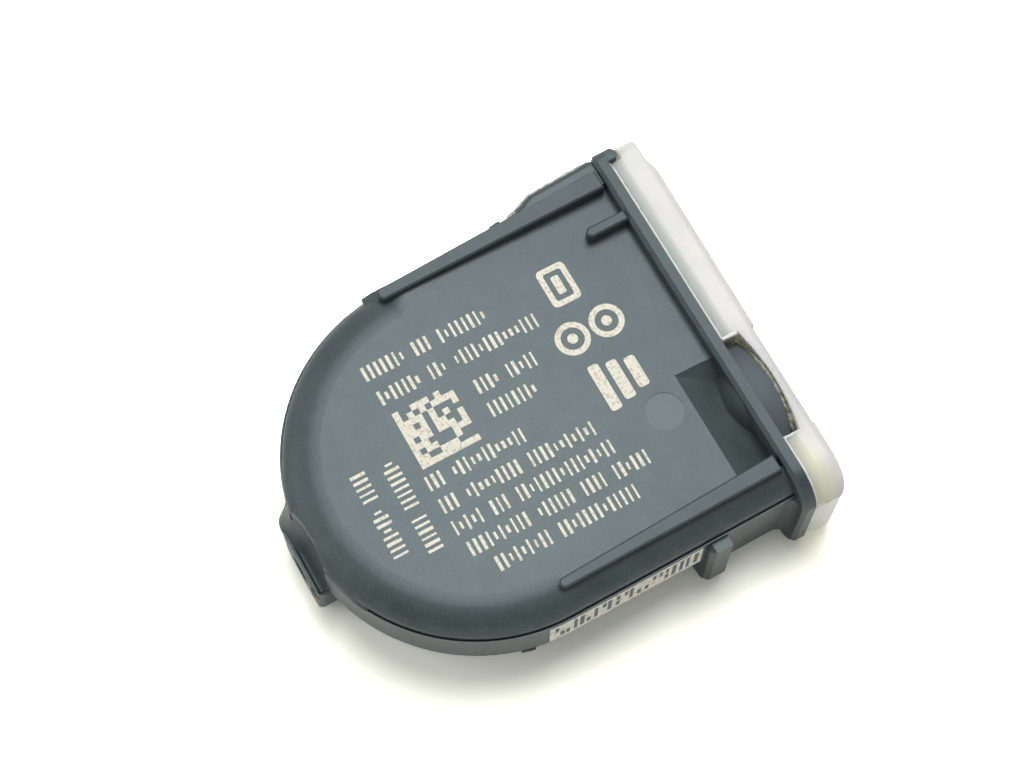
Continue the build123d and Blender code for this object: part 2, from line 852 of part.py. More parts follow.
with BuildPart() as coil_winding:
    with BuildSketch(across(coil_x - waist_length / 2)):
        with Locations((coil_y, coil_z + coil_core_height / 2)):
            RectangleRounded(coil_width, coil_core_height, winding_thickness)
            Rectangle(waist_width, waist_height, mode=Mode.SUBTRACT)
    extrude(amount=waist_length)

coil_winding.part.label = "coil_winding"
export_step(coil_winding.part, "parts/coil_winding.step")

# Quartz crystal, a metal can on a ceramic foot
with BuildPart() as quartz_crystal:
    with BuildSketch(Plane.XY.offset(board_top_z)):
        with Locations((crystal_x, crystal_y)):
            Rectangle(crystal_length, crystal_width)
    extrude(amount=crystal_foot)
    with BuildSketch(Plane.XY.offset(board_top_z + crystal_foot)):
        with Locations((crystal_x, crystal_y)):
            RectangleRounded(
                crystal_length - 2 * crystal_lid_inset, crystal_width - 2 * crystal_lid_inset, crystal_foot
            )
    extrude(amount=crystal_height - crystal_foot)

quartz_crystal.part.label = "quartz_crystal"
export_step(quartz_crystal.part, "parts/quartz_crystal.step")

# Transmitting antenna, a stamped bridge standing on the board
with BuildPart() as loop_antenna:
    with BuildSketch(along(antenna_y + antenna_width / 2)):
        with BuildLine():
            Polyline(
                (antenna_start_x, board_top_z),
                (antenna_start_x + antenna_sheet, board_top_z),
                (antenna_start_x + antenna_sheet, board_top_z + antenna_height - antenna_sheet),
                (antenna_end_x - antenna_sheet, board_top_z + antenna_height - antenna_sheet),
                (antenna_end_x - antenna_sheet, board_top_z),
                (antenna_end_x, board_top_z),
                (antenna_end_x, board_top_z + antenna_height),
                (antenna_start_x, board_top_z + antenna_height),
                close=True,
            )
        make_face()
    extrude(amount=antenna_width)

loop_antenna.part.label = "loop_antenna"
export_step(loop_antenna.part, "parts/loop_antenna.step")


def passive_group(name, x, y, pitch, columns, rows, height):
    # small blocks of one kind, standing on the board in rows
    with BuildPart() as group:
        with BuildSketch(Plane.XY.offset(board_top_z)):
            with Locations((x, y)):
                with GridLocations(pitch, pitch, columns, rows):
                    Rectangle(passive_length, passive_width)
        extrude(amount=height)
    group.part.label = name
    export_step(group.part, f"parts/{name}.step")


passive_group(
    "filter_capacitors",
    capacitor_x,
    capacitor_y,
    capacitor_pitch,
    capacitor_columns,
    capacitor_rows,
    capacitor_height,
)
passive_group(
    "matching_inductors",
    inductor_x,
    inductor_y,
    inductor_pitch,
    inductor_columns,
    inductor_rows,
    inductor_height,
)
passive_group(
    "chip_resistors",
    resistor_x,
    resistor_y,
    resistor_pitch,
    resistor_columns,
    resistor_rows,
    resistor_height,
)
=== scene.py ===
import bpy
import math
import random
from mathutils import Matrix, Vector


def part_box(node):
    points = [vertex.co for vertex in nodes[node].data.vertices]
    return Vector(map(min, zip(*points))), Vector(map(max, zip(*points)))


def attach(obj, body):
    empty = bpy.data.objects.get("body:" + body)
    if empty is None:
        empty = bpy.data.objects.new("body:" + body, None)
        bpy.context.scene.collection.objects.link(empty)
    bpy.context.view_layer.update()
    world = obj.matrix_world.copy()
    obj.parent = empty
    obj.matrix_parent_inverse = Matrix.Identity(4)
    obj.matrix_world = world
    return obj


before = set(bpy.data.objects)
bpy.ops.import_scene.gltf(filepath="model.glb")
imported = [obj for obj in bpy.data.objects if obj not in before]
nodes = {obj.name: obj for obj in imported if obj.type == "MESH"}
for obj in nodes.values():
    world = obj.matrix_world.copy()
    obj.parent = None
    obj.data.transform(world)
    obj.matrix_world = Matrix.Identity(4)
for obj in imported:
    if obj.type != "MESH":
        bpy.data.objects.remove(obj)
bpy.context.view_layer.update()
scene = bpy.context.scene
mm = 0.001
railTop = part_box("housing")[1][2]        # rails, short rib and flange all end at this height
print("frame:", len(nodes), "nodes, top at", round(railTop / mm, 2), "mm")

# a Mix node's sockets share their names, so they are picked by number
mixShare = 0
floatA = 2
floatB = 3
colourA = 6
colourB = 7
mixedFloat = 0
mixedColour = 2


# shader helpers
def addNode(tree, kind, sockets=None, **settings):
    node = tree.nodes.new(kind)
    for key, value in settings.items():
        setattr(node, key, value)
    for key, value in (sockets or {}).items():
        node.inputs[key].default_value = value
    return node


def join(tree, source, output, target, socket):
    tree.links.new(source.outputs[output], target.inputs[socket])


def startMaterial(name, sockets):
    material = bpy.data.materials.new(name)
    material.use_nodes = True
    tree = material.node_tree
    shader = tree.nodes["Principled BSDF"]
    for key, value in sockets.items():
        shader.inputs[key].default_value = value
    coords = addNode(tree, "ShaderNodeTexCoord")
    return material, tree, shader, coords


def noiseField(tree, coords, scale, detail=2.0, roughness=0.5):
    noise = addNode(tree, "ShaderNodeTexNoise", {"Scale": scale, "Detail": detail, "Roughness": roughness})
    join(tree, coords, "Object", noise, "Vector")
    return noise


def toneRamp(tree, source, output, stops):
    ramp = addNode(tree, "ShaderNodeValToRGB")
    points = ramp.color_ramp.elements
    while len(points) < len(stops):
        points.new(0.5)
    for point, (position, colour) in zip(points, stops):
        point.position = position
        point.color = (*colour, 1.0)
    join(tree, source, output, ramp, "Fac")
    return ramp


def spread(tree, source, output, low, high):
    span = addNode(tree, "ShaderNodeMapRange", {"To Min": low, "To Max": high})
    join(tree, source, output, span, "Value")
    return span


def softStep(tree, source, output, start, end):
    limits = {"From Min": start, "From Max": end}
    step = addNode(tree, "ShaderNodeMapRange", limits, interpolation_type="SMOOTHSTEP")
    join(tree, source, output, step, "Value")
    return step


def bothMasks(tree, first, second):
    mask = addNode(tree, "ShaderNodeMath", operation="MULTIPLY")
    join(tree, first, 0, mask, 0)
    join(tree, second, 0, mask, 1)
    return mask


def bandMask(tree, source, output, band):
    low, lowFull, highFull, high = [edge * mm for edge in band]
    rising = softStep(tree, source, output, low, lowFull)
    falling = softStep(tree, source, output, high, highFull)
    return bothMasks(tree, rising, falling)


def tintOver(tree, under, output, mask, colour):
    tinted = addNode(tree, "ShaderNodeMix", {colourB: (*colour, 1.0)}, data_type="RGBA")
    join(tree, mask, 0, tinted, mixShare)
    join(tree, under, output, tinted, colourA)
    return tinted


def bumpFrom(tree, shader, source, strength, distance):
    bump = addNode(tree, "ShaderNodeBump", {"Strength": strength, "Distance": distance})
    join(tree, source, "Fac", bump, "Height")
    join(tree, bump, "Normal", shader, "Normal")


# black moulded housing: fine spark-eroded grain, paler on the pin mark as a painted sheen, paler past the
# weld line as painted light on the dome, duller on rails and weld
housingLook = {
    "tones": [(0.36, (0.031, 0.043, 0.045)), (0.64, (0.052, 0.071, 0.074))],
    # painted sheen: the smooth pin mark is given a paler tone
    "smooth": (0.068, 0.088, 0.094),
    # painted light: past the weld line the tone is paler, lifting the shaded dome beside the cap
    "weldLitZone": (0.084, 0.102, 0.110),
    "gloss": (0.83, 0.97, 1.0, 1.0),
    "grainScale": 5200.0,
    "mottleScale": 420.0,
    "mottleShare": 0.45,
    "roughGrain": 0.4,
    "roughTop": 0.48,
    "roughWeld": 0.6,
    "weldStart": 23.7 * mm,
    "weldEnd": 24.1 * mm,
    "topMargin": 0.05 * mm,
    "grainBump": 0.5,
    "grainHeight": 0.000018,
    "pinMark": (16.3 * mm, -5.4 * mm),
    "pinRadius": 1.8 * mm,
}


def housingPlastic():
    look = housingLook
    material, tree, shader, coords = startMaterial(
        "housingPlastic", {"IOR": 1.5, "Specular IOR Level": 0.5, "Specular Tint": look["gloss"]}
    )
    grain = noiseField(tree, coords, look["grainScale"], detail=3.0, roughness=0.6)
    mottle = noiseField(tree, coords, look["mottleScale"], detail=4.0, roughness=0.55)
    blend = addNode(tree, "ShaderNodeMix", {mixShare: look["mottleShare"]}, data_type="FLOAT")
    join(tree, grain, "Fac", blend, floatA)
    join(tree, mottle, "Fac", blend, floatB)
    tone = toneRamp(tree, blend, mixedFloat, look["tones"])
    place = addNode(tree, "ShaderNodeSeparateXYZ")
    join(tree, coords, "Object", place, "Vector")
    # the pin mark is a disc around an upright axis
    flat = addNode(tree, "ShaderNodeCombineXYZ")
    join(tree, place, "X", flat, "X")
    join(tree, place, "Y", flat, "Y")
    away = addNode(tree, "ShaderNodeVectorMath", {1: (*look["pinMark"], 0.0)}, operation="DISTANCE")
    join(tree, flat, "Vector", away, 0)
    inDisc = addNode(tree, "ShaderNodeMath", {1: look["pinRadius"]}, operation="LESS_THAN")
    join(tree, away, "Value", inDisc, 0)
    # painted sheen: a paler tone on the pin mark's disc
    pinSheenTone = tintOver(tree, tone, "Color", inDisc, look["smooth"])
    # painted light: a paler tone from the weld line on, over the dome beside the cap
    weldLitZone = softStep(tree, place, "X", look["weldStart"], look["weldEnd"])
    weldLitTone = tintOver(tree, pinSheenTone, mixedColour, weldLitZone, look["weldLitZone"])
    join(tree, weldLitTone, mixedColour, shader, "Base Color")
    # rails are duller than the grained faces, the weld duller still
    onTop = addNode(tree, "ShaderNodeMath", {1: railTop - look["topMargin"]}, operation="GREATER_THAN")
    join(tree, place, "Z", onTop, 0)
    rough = spread(tree, onTop, "Value", look["roughGrain"], look["roughTop"])
    dull = addNode(tree, "ShaderNodeMix", {floatB: look["roughWeld"]}, data_type="FLOAT")
    join(tree, weldLitZone, "Result", dull, mixShare)
    join(tree, rough, "Result", dull, floatA)
    join(tree, dull, mixedFloat, shader, "Roughness")
    bumpFrom(tree, shader, grain, look["grainBump"], look["grainHeight"])
    return material


# natural end cap: milky, a little see-through, greener where the near end is thick; painted shade in the
# valley behind the lip and painted light on the near side
capLook = {
    "tones": [(0.3, (0.63, 0.63, 0.60)), (0.62, (0.70, 0.69, 0.665))],
    # painted shade in the groove behind the lip, partly the black flange showing through the thin cap
    "valley": (0.54, 0.585, 0.55),
    "valleyX": [24.08, 24.3, 24.7, 25.15],
    "nearTint": (0.72, 0.73, 0.58),
    # painted light: near white below the crease, for light coming through the near side
    "nearSideGlow": (0.95, 0.95, 0.84),
    "nearStart": -12.0 * mm,
    "nearEnd": -16.0 * mm,
    "sideTop": 10.4 * mm,
    "sideFoot": 9.4 * mm,
    "thickX": [23.95, 24.25, 25.4, 26.6],
    "farTint": (0.66, 0.68, 0.62),
    "farStart": 16.5 * mm,
    "farEnd": 18.6 * mm,
    "rough": 0.42,
    "milkiness": 0.9,
    "depth": 4.0 * mm,
    "cloudScale": 260.0,
    "fineScale": 1800.0,
    "fineBump": 0.25,
    "fineHeight": 0.00003,
}


def capPlastic():
    look = capLook
    material, tree, shader, coords = startMaterial(
        "capPlastic",
        {
            "Roughness": look["rough"],
            "IOR": 1.5,
            "Subsurface Weight": look["milkiness"],
            "Subsurface Radius": (1.0, 1.0, 0.8),
            "Subsurface Scale": look["depth"],
        },
    )
    cloud = noiseField(tree, coords, look["cloudScale"], detail=4.0, roughness=0.6)
    tone = toneRamp(tree, cloud, "Fac", look["tones"])
    place = addNode(tree, "ShaderNodeSeparateXYZ")
    join(tree, coords, "Object", place, "Vector")
    # tints laid over each other: far end, painted shade in the valley behind the lip, thick near end,
    # painted light on the near side
    far = softStep(tree, place, "Y", look["farStart"], look["farEnd"])
    farTone = tintOver(tree, tone, "Color", far, look["farTint"])
    inValley = bandMask(tree, place, "X", look["valleyX"])
    valleyTone = tintOver(tree, farTone, mixedColour, inValley, look["valley"])
    near = softStep(tree, place, "Y", look["nearStart"], look["nearEnd"])
    thick = bandMask(tree, place, "X", look["thickX"])
    thickTone = tintOver(tree, valleyTone, mixedColour, bothMasks(tree, near, thick), look["nearTint"])
    below = softStep(tree, place, "Z", look["sideTop"], look["sideFoot"])
    sideGlowTone = tintOver(tree, thickTone, mixedColour, bothMasks(tree, below, near), look["nearSideGlow"])
    join(tree, sideGlowTone, mixedColour, shader, "Base Color")
    fine = noiseField(tree, coords, look["fineScale"], detail=3.0)
    bumpFrom(tree, shader, fine, look["fineBump"], look["fineHeight"])
    return material


# laser marks: foamed, cream, with darker flecks where the beam missed; the wall strip is paler
markLooks = {
    "laserCream": {"tones": [(0.36, (0.52, 0.49, 0.40)), (0.5, (0.80, 0.77, 0.66))], "fleckScale": 3600.0},
    "stripCream": {"tones": [(0.36, (0.58, 0.55, 0.46)), (0.5, (0.93, 0.91, 0.80))], "fleckScale": 2600.0},
}
markGrain = {"rough": 0.8, "bump": 0.4, "height": 0.00002}


def laserMark(name):
    look = markLooks[name]
    material, tree, shader, coords = startMaterial(name, {"Roughness": markGrain["rough"]})
    fleck = noiseField(tree, coords, look["fleckScale"], detail=3.0, roughness=0.65)
    tone = toneRamp(tree, fleck, "Fac", look["tones"])
    join(tree, tone, "Color", shader, "Base Color")
    bumpFrom(tree, shader, fleck, markGrain["bump"], markGrain["height"])
    return material


# thin skins: olive brown and grey at the weld, a pale painted highlight along the mould's far edge,
# brighter milky skin on the cap's lips and tabs as painted light
skinLooks = {
    "weldSkin": [(0.35, (0.05, 0.045, 0.03)), (0.52, (0.16, 0.14, 0.08)), (0.68, (0.40, 0.37, 0.26))],
    "ashSkin": [(0.35, (0.12, 0.12, 0.09)), (0.52, (0.25, 0.25, 0.20)), (0.68, (0.44, 0.44, 0.37))],
    # painted highlight: a pale skin for the glossy reflection along the far edge
    "paleGlintSkin": [(0.35, (0.16, 0.165, 0.155)), (0.52, (0.36, 0.37, 0.35)), (0.68, (0.62, 0.63, 0.60))],
    # painted light: milkier and brighter than the cap, for the lit lip line, rim and tabs
    "milkLitSkin": [(0.3, (0.70, 0.70, 0.66)), (0.5, (0.80, 0.80, 0.77)), (0.7, (0.86, 0.86, 0.83))],
}
skinGrain = {"rough": 0.45, "scale": 1500.0, "bump": 0.5, "height": 0.00004}


def thinSkin(name):
    material, tree, shader, coords = startMaterial(name, {"Roughness": skinGrain["rough"], "IOR": 1.5})
    patch = noiseField(tree, coords, skinGrain["scale"], detail=4.0, roughness=0.6)
    tone = toneRamp(tree, patch, "Fac", skinLooks[name])
    join(tree, tone, "Color", shader, "Base Color")
    bumpFrom(tree, shader, patch, skinGrain["bump"], skinGrain["height"])
    return material


# inner pieces: plain finishes with a little grain each
innerLooks = {
    "circuit_board": {
        "name": "boardResist",
        "low": (0.03, 0.17, 0.08),
        "high": (0.05, 0.26, 0.12),
        "scale": 900.0,
        "rough": 0.35,
        "metal": 0.0,
    },
    "coin_cell": {
        "name": "cellSteel",
        "low": (0.55, 0.55, 0.54),
        "high": (0.72, 0.72, 0.70),
        "scale": 1600.0,
        "rough": 0.3,
        "metal": 1.0,
    },
    "positive_tab": {
        "name": "nickelStrip",
        "low": (0.56, 0.54, 0.50),
        "high": (0.68, 0.66, 0.62),
        "scale": 2200.0,
        "rough": 0.35,
        "metal": 1.0,
    },
    "sensor_chip": {
        "name": "chipMould",
        "low": (0.03, 0.03, 0.033),
        "high": (0.06, 0.06, 0.065),
        "scale": 4000.0,
        "rough": 0.6,
        "metal": 0.0,
    },
    "port_seal": {
        "name": "sealRubber",
        "low": (0.05, 0.05, 0.05),
        "high": (0.12, 0.12, 0.12),
        "scale": 2500.0,
        "rough": 0.75,
        "metal": 0.0,
    },
    "coil_core": {
        "name": "ferriteGrain",
        "low": (0.08, 0.08, 0.08),
        "high": (0.16, 0.15, 0.15),
        "scale": 5000.0,
        "rough": 0.7,
        "metal": 0.0,
    },
    "coil_winding": {
        "name": "copperWire",
        "low": (0.50, 0.22, 0.10),
        "high": (0.66, 0.34, 0.17),
        "scale": 3000.0,
        "rough": 0.3,
        "metal": 1.0,
    },
    "quartz_crystal": {
        "name": "crystalCan",
        "low": (0.62, 0.61, 0.57),
        "high": (0.75, 0.74, 0.70),
        "scale": 1800.0,
        "rough": 0.25,
        "metal": 1.0,
    },
    "filter_capacitors": {
        "name": "capacitorClay",
        "low": (0.42, 0.31, 0.21),
        "high": (0.56, 0.43, 0.31),
        "scale": 4200.0,
        "rough": 0.6,
        "metal": 0.0,
    },
}
innerShared = {
    "negative_tab": "positive_tab",
    "loop_antenna": "positive_tab",
    "coil_base": "sensor_chip",
    "chip_resistors": "sensor_chip",
    "matching_inductors": "coil_core",
}
innerGrain = {"lowEnd": 0.35, "highStart": 0.65, "roughRange": 0.08, "bump": 0.3, "height": 0.00001}


def innerFinish(look):
    material, tree, shader, coords = startMaterial(look["name"], {"Metallic": look["metal"]})
    grain = noiseField(tree, coords, look["scale"], detail=3.0, roughness=0.6)
    tones = [(innerGrain["lowEnd"], look["low"]), (innerGrain["highStart"], look["high"])]
    tone = toneRamp(tree, grain, "Fac", tones)
    join(tree, tone, "Color", shader, "Base Color")
    roughLow = look["rough"] - innerGrain["roughRange"]
    roughHigh = look["rough"] + innerGrain["roughRange"]
    rough = spread(tree, grain, "Fac", roughLow, roughHigh)
    join(tree, rough, "Result", shader, "Roughness")
    bumpFrom(tree, shader, grain, innerGrain["bump"], innerGrain["height"])
    return material


def dress(nodeName, material):
    for slot in nodes[nodeName].material_slots:
        slot.material = material


housingFinish = housingPlastic()
capFinish = capPlastic()
creamFinish = laserMark("laserCream")
stripFinish = laserMark("stripCream")
skinFinish = thinSkin("weldSkin")
ashFinish = thinSkin("ashSkin")
# painted highlight for the far edge
glintFinish = thinSkin("paleGlintSkin")
# painted light for the cap's lips and tabs
litLipFinish = thinSkin("milkLitSkin")
dress("housing", housingFinish)
dress("end_cap", capFinish)
innerFinishes = {name: innerFinish(look) for name, look in innerLooks.items()}
for nodeName in nodes:
    finish = innerFinishes.get(innerShared.get(nodeName, nodeName))
    if finish:
        dress(nodeName, finish)
print("finishes: housing, cap and", len(innerFinishes), "inner ones")


# pieces made by node trees
def startTree(name, sockets):
    tree = bpy.data.node_groups.new(name, "GeometryNodeTree")
    ids = {}
    for socketName, kind in sockets.items():
        socket = tree.interface.new_socket(socketName, in_out="INPUT", socket_type=kind)
        ids[socketName] = socket.identifier
    tree.interface.new_socket("Mesh", in_out="OUTPUT", socket_type="NodeSocketGeometry")
    return tree, ids, addNode(tree, "NodeGroupInput")


def endTree(tree, inputs, source, output):
    real = addNode(tree, "GeometryNodeRealizeInstances")
    join(tree, source, output, real, "Geometry")
    paint = addNode(tree, "GeometryNodeSetMaterial")
    join(tree, real, "Geometry", paint, "Geometry")
    join(tree, inputs, "Finish", paint, "Material")
    outputs = addNode(tree, "NodeGroupOutput")
    join(tree, paint, "Geometry", outputs, "Mesh")


# a Random Value node's float sockets, by number
leastFloat = 2
mostFloat = 3
drawnFloat = 1


def randomFloat(tree, least, most):
    limits = {leastFloat: least, mostFloat: most}
    return addNode(tree, "FunctionNodeRandomValue", limits, data_type="FLOAT")


# bars set on points, their widths by chance and some of them short
strokeRule = {"fullHeight": 1.0, "shortHeight": 0.5, "secondSeed": 17.0}
strokeSockets = {
    "Points": "NodeSocketGeometry",
    "Wide": "NodeSocketFloat",
    "Tall": "NodeSocketFloat",
    "Thick": "NodeSocketFloat",
    "Short Share": "NodeSocketFloat",
    "Turn": "NodeSocketVector",
    "Seed": "NodeSocketInt",
    "Finish": "NodeSocketMaterial",
}


def strokeTree(name, narrow, broad):
    tree, ids, inputs = startTree(name, strokeSockets)
    bar = addNode(tree, "GeometryNodeMeshCube")
    widths = randomFloat(tree, narrow, broad)
    chances = randomFloat(tree, 0.0, 1.0)
    otherSeed = addNode(tree, "ShaderNodeMath", {1: strokeRule["secondSeed"]}, operation="ADD")
    join(tree, inputs, "Seed", widths, "Seed")
    join(tree, inputs, "Seed", otherSeed, 0)
    join(tree, otherSeed, "Value", chances, "Seed")
    isShort = addNode(tree, "ShaderNodeMath", operation="LESS_THAN")
    join(tree, chances, drawnFloat, isShort, 0)
    join(tree, inputs, "Short Share", isShort, 1)
    heights = {"To Min": strokeRule["fullHeight"], "To Max": strokeRule["shortHeight"]}
    height = addNode(tree, "ShaderNodeMapRange", heights)
    join(tree, isShort, "Value", height, "Value")
    wide = addNode(tree, "ShaderNodeMath", operation="MULTIPLY")
    join(tree, inputs, "Wide", wide, 0)
    join(tree, widths, drawnFloat, wide, 1)
    tall = addNode(tree, "ShaderNodeMath", operation="MULTIPLY")
    join(tree, inputs, "Tall", tall, 0)
    join(tree, height, "Result", tall, 1)
    barSize = addNode(tree, "ShaderNodeCombineXYZ")
    join(tree, wide, "Value", barSize, "X")
    join(tree, tall, "Value", barSize, "Y")
    join(tree, inputs, "Thick", barSize, "Z")
    place = addNode(tree, "GeometryNodeInstanceOnPoints")
    join(tree, inputs, "Points", place, "Points")
    join(tree, bar, "Mesh", place, "Instance")
    join(tree, inputs, "Turn", place, "Rotation")
    join(tree, barSize, "Vector", place, "Scale")
    # short strokes stand on the row's foot line
    spare = addNode(tree, "ShaderNodeMath", operation="SUBTRACT")
    join(tree, tall, "Value", spare, 0)
    join(tree, inputs, "Tall", spare, 1)
    drop = addNode(tree, "ShaderNodeMath", {1: 0.5}, operation="MULTIPLY")
    join(tree, spare, "Value", drop, 0)
    shift = addNode(tree, "ShaderNodeCombineXYZ")
    join(tree, drop, "Value", shift, "Y")
    settle = addNode(tree, "GeometryNodeTranslateInstances")
    join(tree, place, "Instances", settle, "Instances")
    join(tree, shift, "Vector", settle, "Translation")
    endTree(tree, inputs, settle, "Instances")
    return tree, ids


def addObject(name, data):
    item = bpy.data.objects.new(name, data)
    scene.collection.objects.link(item)
    return item


def growPiece(name, points, edges, tree, ids, values):
    mesh = bpy.data.meshes.new(name)
    mesh.from_pydata(points, edges, [])
    piece = addObject(name, mesh)
    modifier = piece.modifiers.new(name, "NODES")
    modifier.node_group = tree
    for key, value in values.items():
        modifier[ids[key]] = value
    grown = bpy.data.meshes.new_from_object(piece.evaluated_get(bpy.context.evaluated_depsgraph_get()))
    piece.modifiers.clear()
    piece.data = grown
    grown.name = name
    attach(piece, "root")


def meshPiece(name, verts, faces, finish):
    mesh = bpy.data.meshes.new(name)
    mesh.from_pydata(verts, [], faces)
    mesh.materials.append(finish)
    piece = addObject(name, mesh)
    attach(piece, "root")
    return piece


# label face: flat over the round end, sinking towards the mouth
labelFace = {"belowTop": 0.65 * mm, "sink": 1.0 * mm, "length": 22.6 * mm}


def labelHeight(x):
    slope = labelFace["sink"] / labelFace["length"]
    return railTop - labelFace["belowTop"] - slope * max(x, 0.0)


# plain rows of strokes where the moulding is laser marked
labelRows = {
    "wide": 0.25 * mm,
    "tall": 1.45 * mm,
    "thick": 0.05 * mm,
    "proud": 0.012 * mm,
    "pitch": 0.62 * mm,
    "gap": 0.75 * mm,
    "narrow": 0.75,
    "broad": 1.3,
    "shortShare": 0.22,
    "levelSeed": 3,
    "uprightSeed": 8,
    "rows": [        # start x, line y, strokes in each word
        (-5.6, 10.5, (7, 3, 8)),
        (-5.4, 7.8, (7, 3, 14)),
        (2.7, 4.6, (4, 5)),
        (2.7, 2.1, (8,)),
        (-5.5, -1.3, (3, 12)),
        (-5.4, -3.7, (3, 9, 11)),
        (-5.4, -6.0, (5, 3, 16)),
        (-5.1, -8.3, (10, 6, 4, 6)),
        (-3.6, -10.65, (9, 13)),
    ],
    "uprightRows": [(-10.65, -5.8, (8, 5)), (-7.75, -6.8, (6, 8))],        # line x, start y, strokes
}


def rowSteps(words):
    place = 0.0
    for count in words:
        for stroke in range(count):
            yield place
            place += labelRows["pitch"]
        place += labelRows["gap"]


strokes, strokeIds = strokeTree("strokeRows", labelRows["narrow"], labelRows["broad"])
tilt = math.atan2(labelFace["sink"], labelFace["length"])
markMiddle = labelRows["proud"] - labelRows["thick"] / 2        # of a stroke, over the label face
levelPoints = []
for startX, lineY, words in labelRows["rows"]:
    for step in rowSteps(words):
        x = startX * mm + step
        levelPoints.append((x, lineY * mm, labelHeight(x) + markMiddle))
uprightPoints = []
for lineX, startY, words in labelRows["uprightRows"]:
    for step in rowSteps(words):
        uprightPoints.append((lineX * mm, startY * mm + step, labelHeight(lineX * mm) + markMiddle))
rowValues = {
    "Wide": labelRows["wide"],
    "Tall": labelRows["tall"],
    "Thick": labelRows["thick"],
    "Short Share": labelRows["shortShare"],
    "Finish": creamFinish,
}
levelValues = {**rowValues, "Turn": (0.0, tilt, 0.0), "Seed": labelRows["levelSeed"]}
uprightValues = {**rowValues, "Turn": (0.0, 0.0, math.pi / 2), "Seed": labelRows["uprightSeed"]}
growPiece("labelStrokes", levelPoints, [], strokes, strokeIds, levelValues)
growPiece("endStrokes", uprightPoints, [], strokes, strokeIds, uprightValues)
print("label rows:", len(levelPoints) + len(uprightPoints), "strokes")


# invented block square: two full sides, the rest by chance
blockSquare = {
    "corner": (-5.3, 0.1),
    "cells": 10,
    "pitch": 0.59,
    "overlap": 1.02,
    "share": 0.5,
    "seed": 21,
}
blockPitch = blockSquare["pitch"] * mm
chance = random.Random(blockSquare["seed"])
blockPoints = []
for column in range(blockSquare["cells"]):
    for row in range(blockSquare["cells"]):
        filled = chance.random() < blockSquare["share"]
        if filled or column == 0 or row == 0:
            x = blockSquare["corner"][0] * mm + (column + 0.5) * blockPitch
            y = blockSquare["corner"][1] * mm + (row + 0.5) * blockPitch
            blockPoints.append((x, y, labelHeight(x) + markMiddle))
blockTree, blockIds = strokeTree("blockCells", narrow=1.0, broad=1.0)
growPiece(
    "blockSquare",
    blockPoints,
    [],
    blockTree,
    blockIds,
    {
        "Wide": blockPitch * blockSquare["overlap"],
        "Tall": blockPitch * blockSquare["overlap"],
        "Thick": labelRows["thick"],
        "Short Share": 0.0,
        "Turn": (0.0, 0.0, 0.0),
        "Seed": 1,
        "Finish": creamFinish,
    },
)
print("block square:", len(blockPoints), "cells")


# plain signs on the label face: a framed square, two rings with a dot and three bars
def addPlate(verts, faces, outer, inner=None):
    top = labelRows["proud"]
    bottom = top - labelRows["thick"]
    loops = []
    for outline in (outer, inner):
        if outline:
            for offset in (top, bottom):
                loops.append(len(verts))
                verts.extend((x, y, labelHeight(x) + offset) for x, y in outline)
    count = len(outer)
    for step in range(count):
        after = (step + 1) % count
        faces.append((loops[0] + step, loops[1] + step, loops[1] + after, loops[0] + after))
        if inner:
            faces.append((loops[0] + step, loops[0] + after, loops[2] + after, loops[2] + step))
            faces.append((loops[1] + after, loops[1] + step, loops[3] + step, loops[3] + after))
            faces.append((loops[2] + after, loops[3] + after, loops[3] + step, loops[2] + step))
    if not inner:
        faces.append(tuple(loops[0] + step for step in range(count)))
        faces.append(tuple(loops[1] + step for step in reversed(range(count))))


def roundedBox(centre, half, corner, steps=6):
    outline = []
    for quarter, (signX, signY) in enumerate(((1, 1), (-1, 1), (-1, -1), (1, -1))):
        for step in range(steps + 1):
            angle = (quarter + step / steps) * math.pi / 2
            x = centre[0] + signX * (half[0] - corner) + corner * math.cos(angle)
            y = centre[1] + signY * (half[1] - corner) + corner * math.sin(angle)
            outline.append((x * mm, y * mm))
    return outline


def roundOutline(centre, radius, steps=32):
    turns = [2 * math.pi * step / steps for step in range(steps)]
    return [
        ((centre[0] + radius * math.cos(turn)) * mm, (centre[1] + radius * math.sin(turn)) * mm)
        for turn in turns
    ]


plainSigns = {
    "line": 0.55,
    "squareCentre": (14.0, 9.85),
    "squareHalf": (1.45, 2.0),
    "squareCorner": 0.5,
    "squareCore": (0.4, 0.95),
    "coreCorner": 0.2,
    "rings": [(12.5, 4.6), (16.1, 4.7)],
    "ringRadius": 1.65,
    "dotRadius": 0.5,
    "bars": [(12.7, 2.4), (14.35, 2.0), (16.0, 1.6)],        # x, half height
    "barY": -0.85,
    "barHalfWide": 0.55,
    "barCorner": 0.3,
}
signVerts = []
signFaces = []
line = plainSigns["line"]
halfX, halfY = plainSigns["squareHalf"]
corner = plainSigns["squareCorner"]
addPlate(
    signVerts,
    signFaces,
    roundedBox(plainSigns["squareCentre"], (halfX, halfY), corner),
    roundedBox(plainSigns["squareCentre"], (halfX - line, halfY - line), corner / 2),
)
core = roundedBox(plainSigns["squareCentre"], plainSigns["squareCore"], plainSigns["coreCorner"])
addPlate(signVerts, signFaces, core)
ringRadius = plainSigns["ringRadius"]
for centre in plainSigns["rings"]:
    inside = roundOutline(centre, ringRadius - line)
    addPlate(signVerts, signFaces, roundOutline(centre, ringRadius), inside)
    addPlate(signVerts, signFaces, roundOutline(centre, plainSigns["dotRadius"]))
for x, halfTall in plainSigns["bars"]:
    centre = (x, plainSigns["barY"])
    halfSize = (plainSigns["barHalfWide"], halfTall)
    addPlate(signVerts, signFaces, roundedBox(centre, halfSize, plainSigns["barCorner"]))
meshPiece("plainSigns", signVerts, signFaces, creamFinish)
print("plain signs:", len(signFaces), "faces")

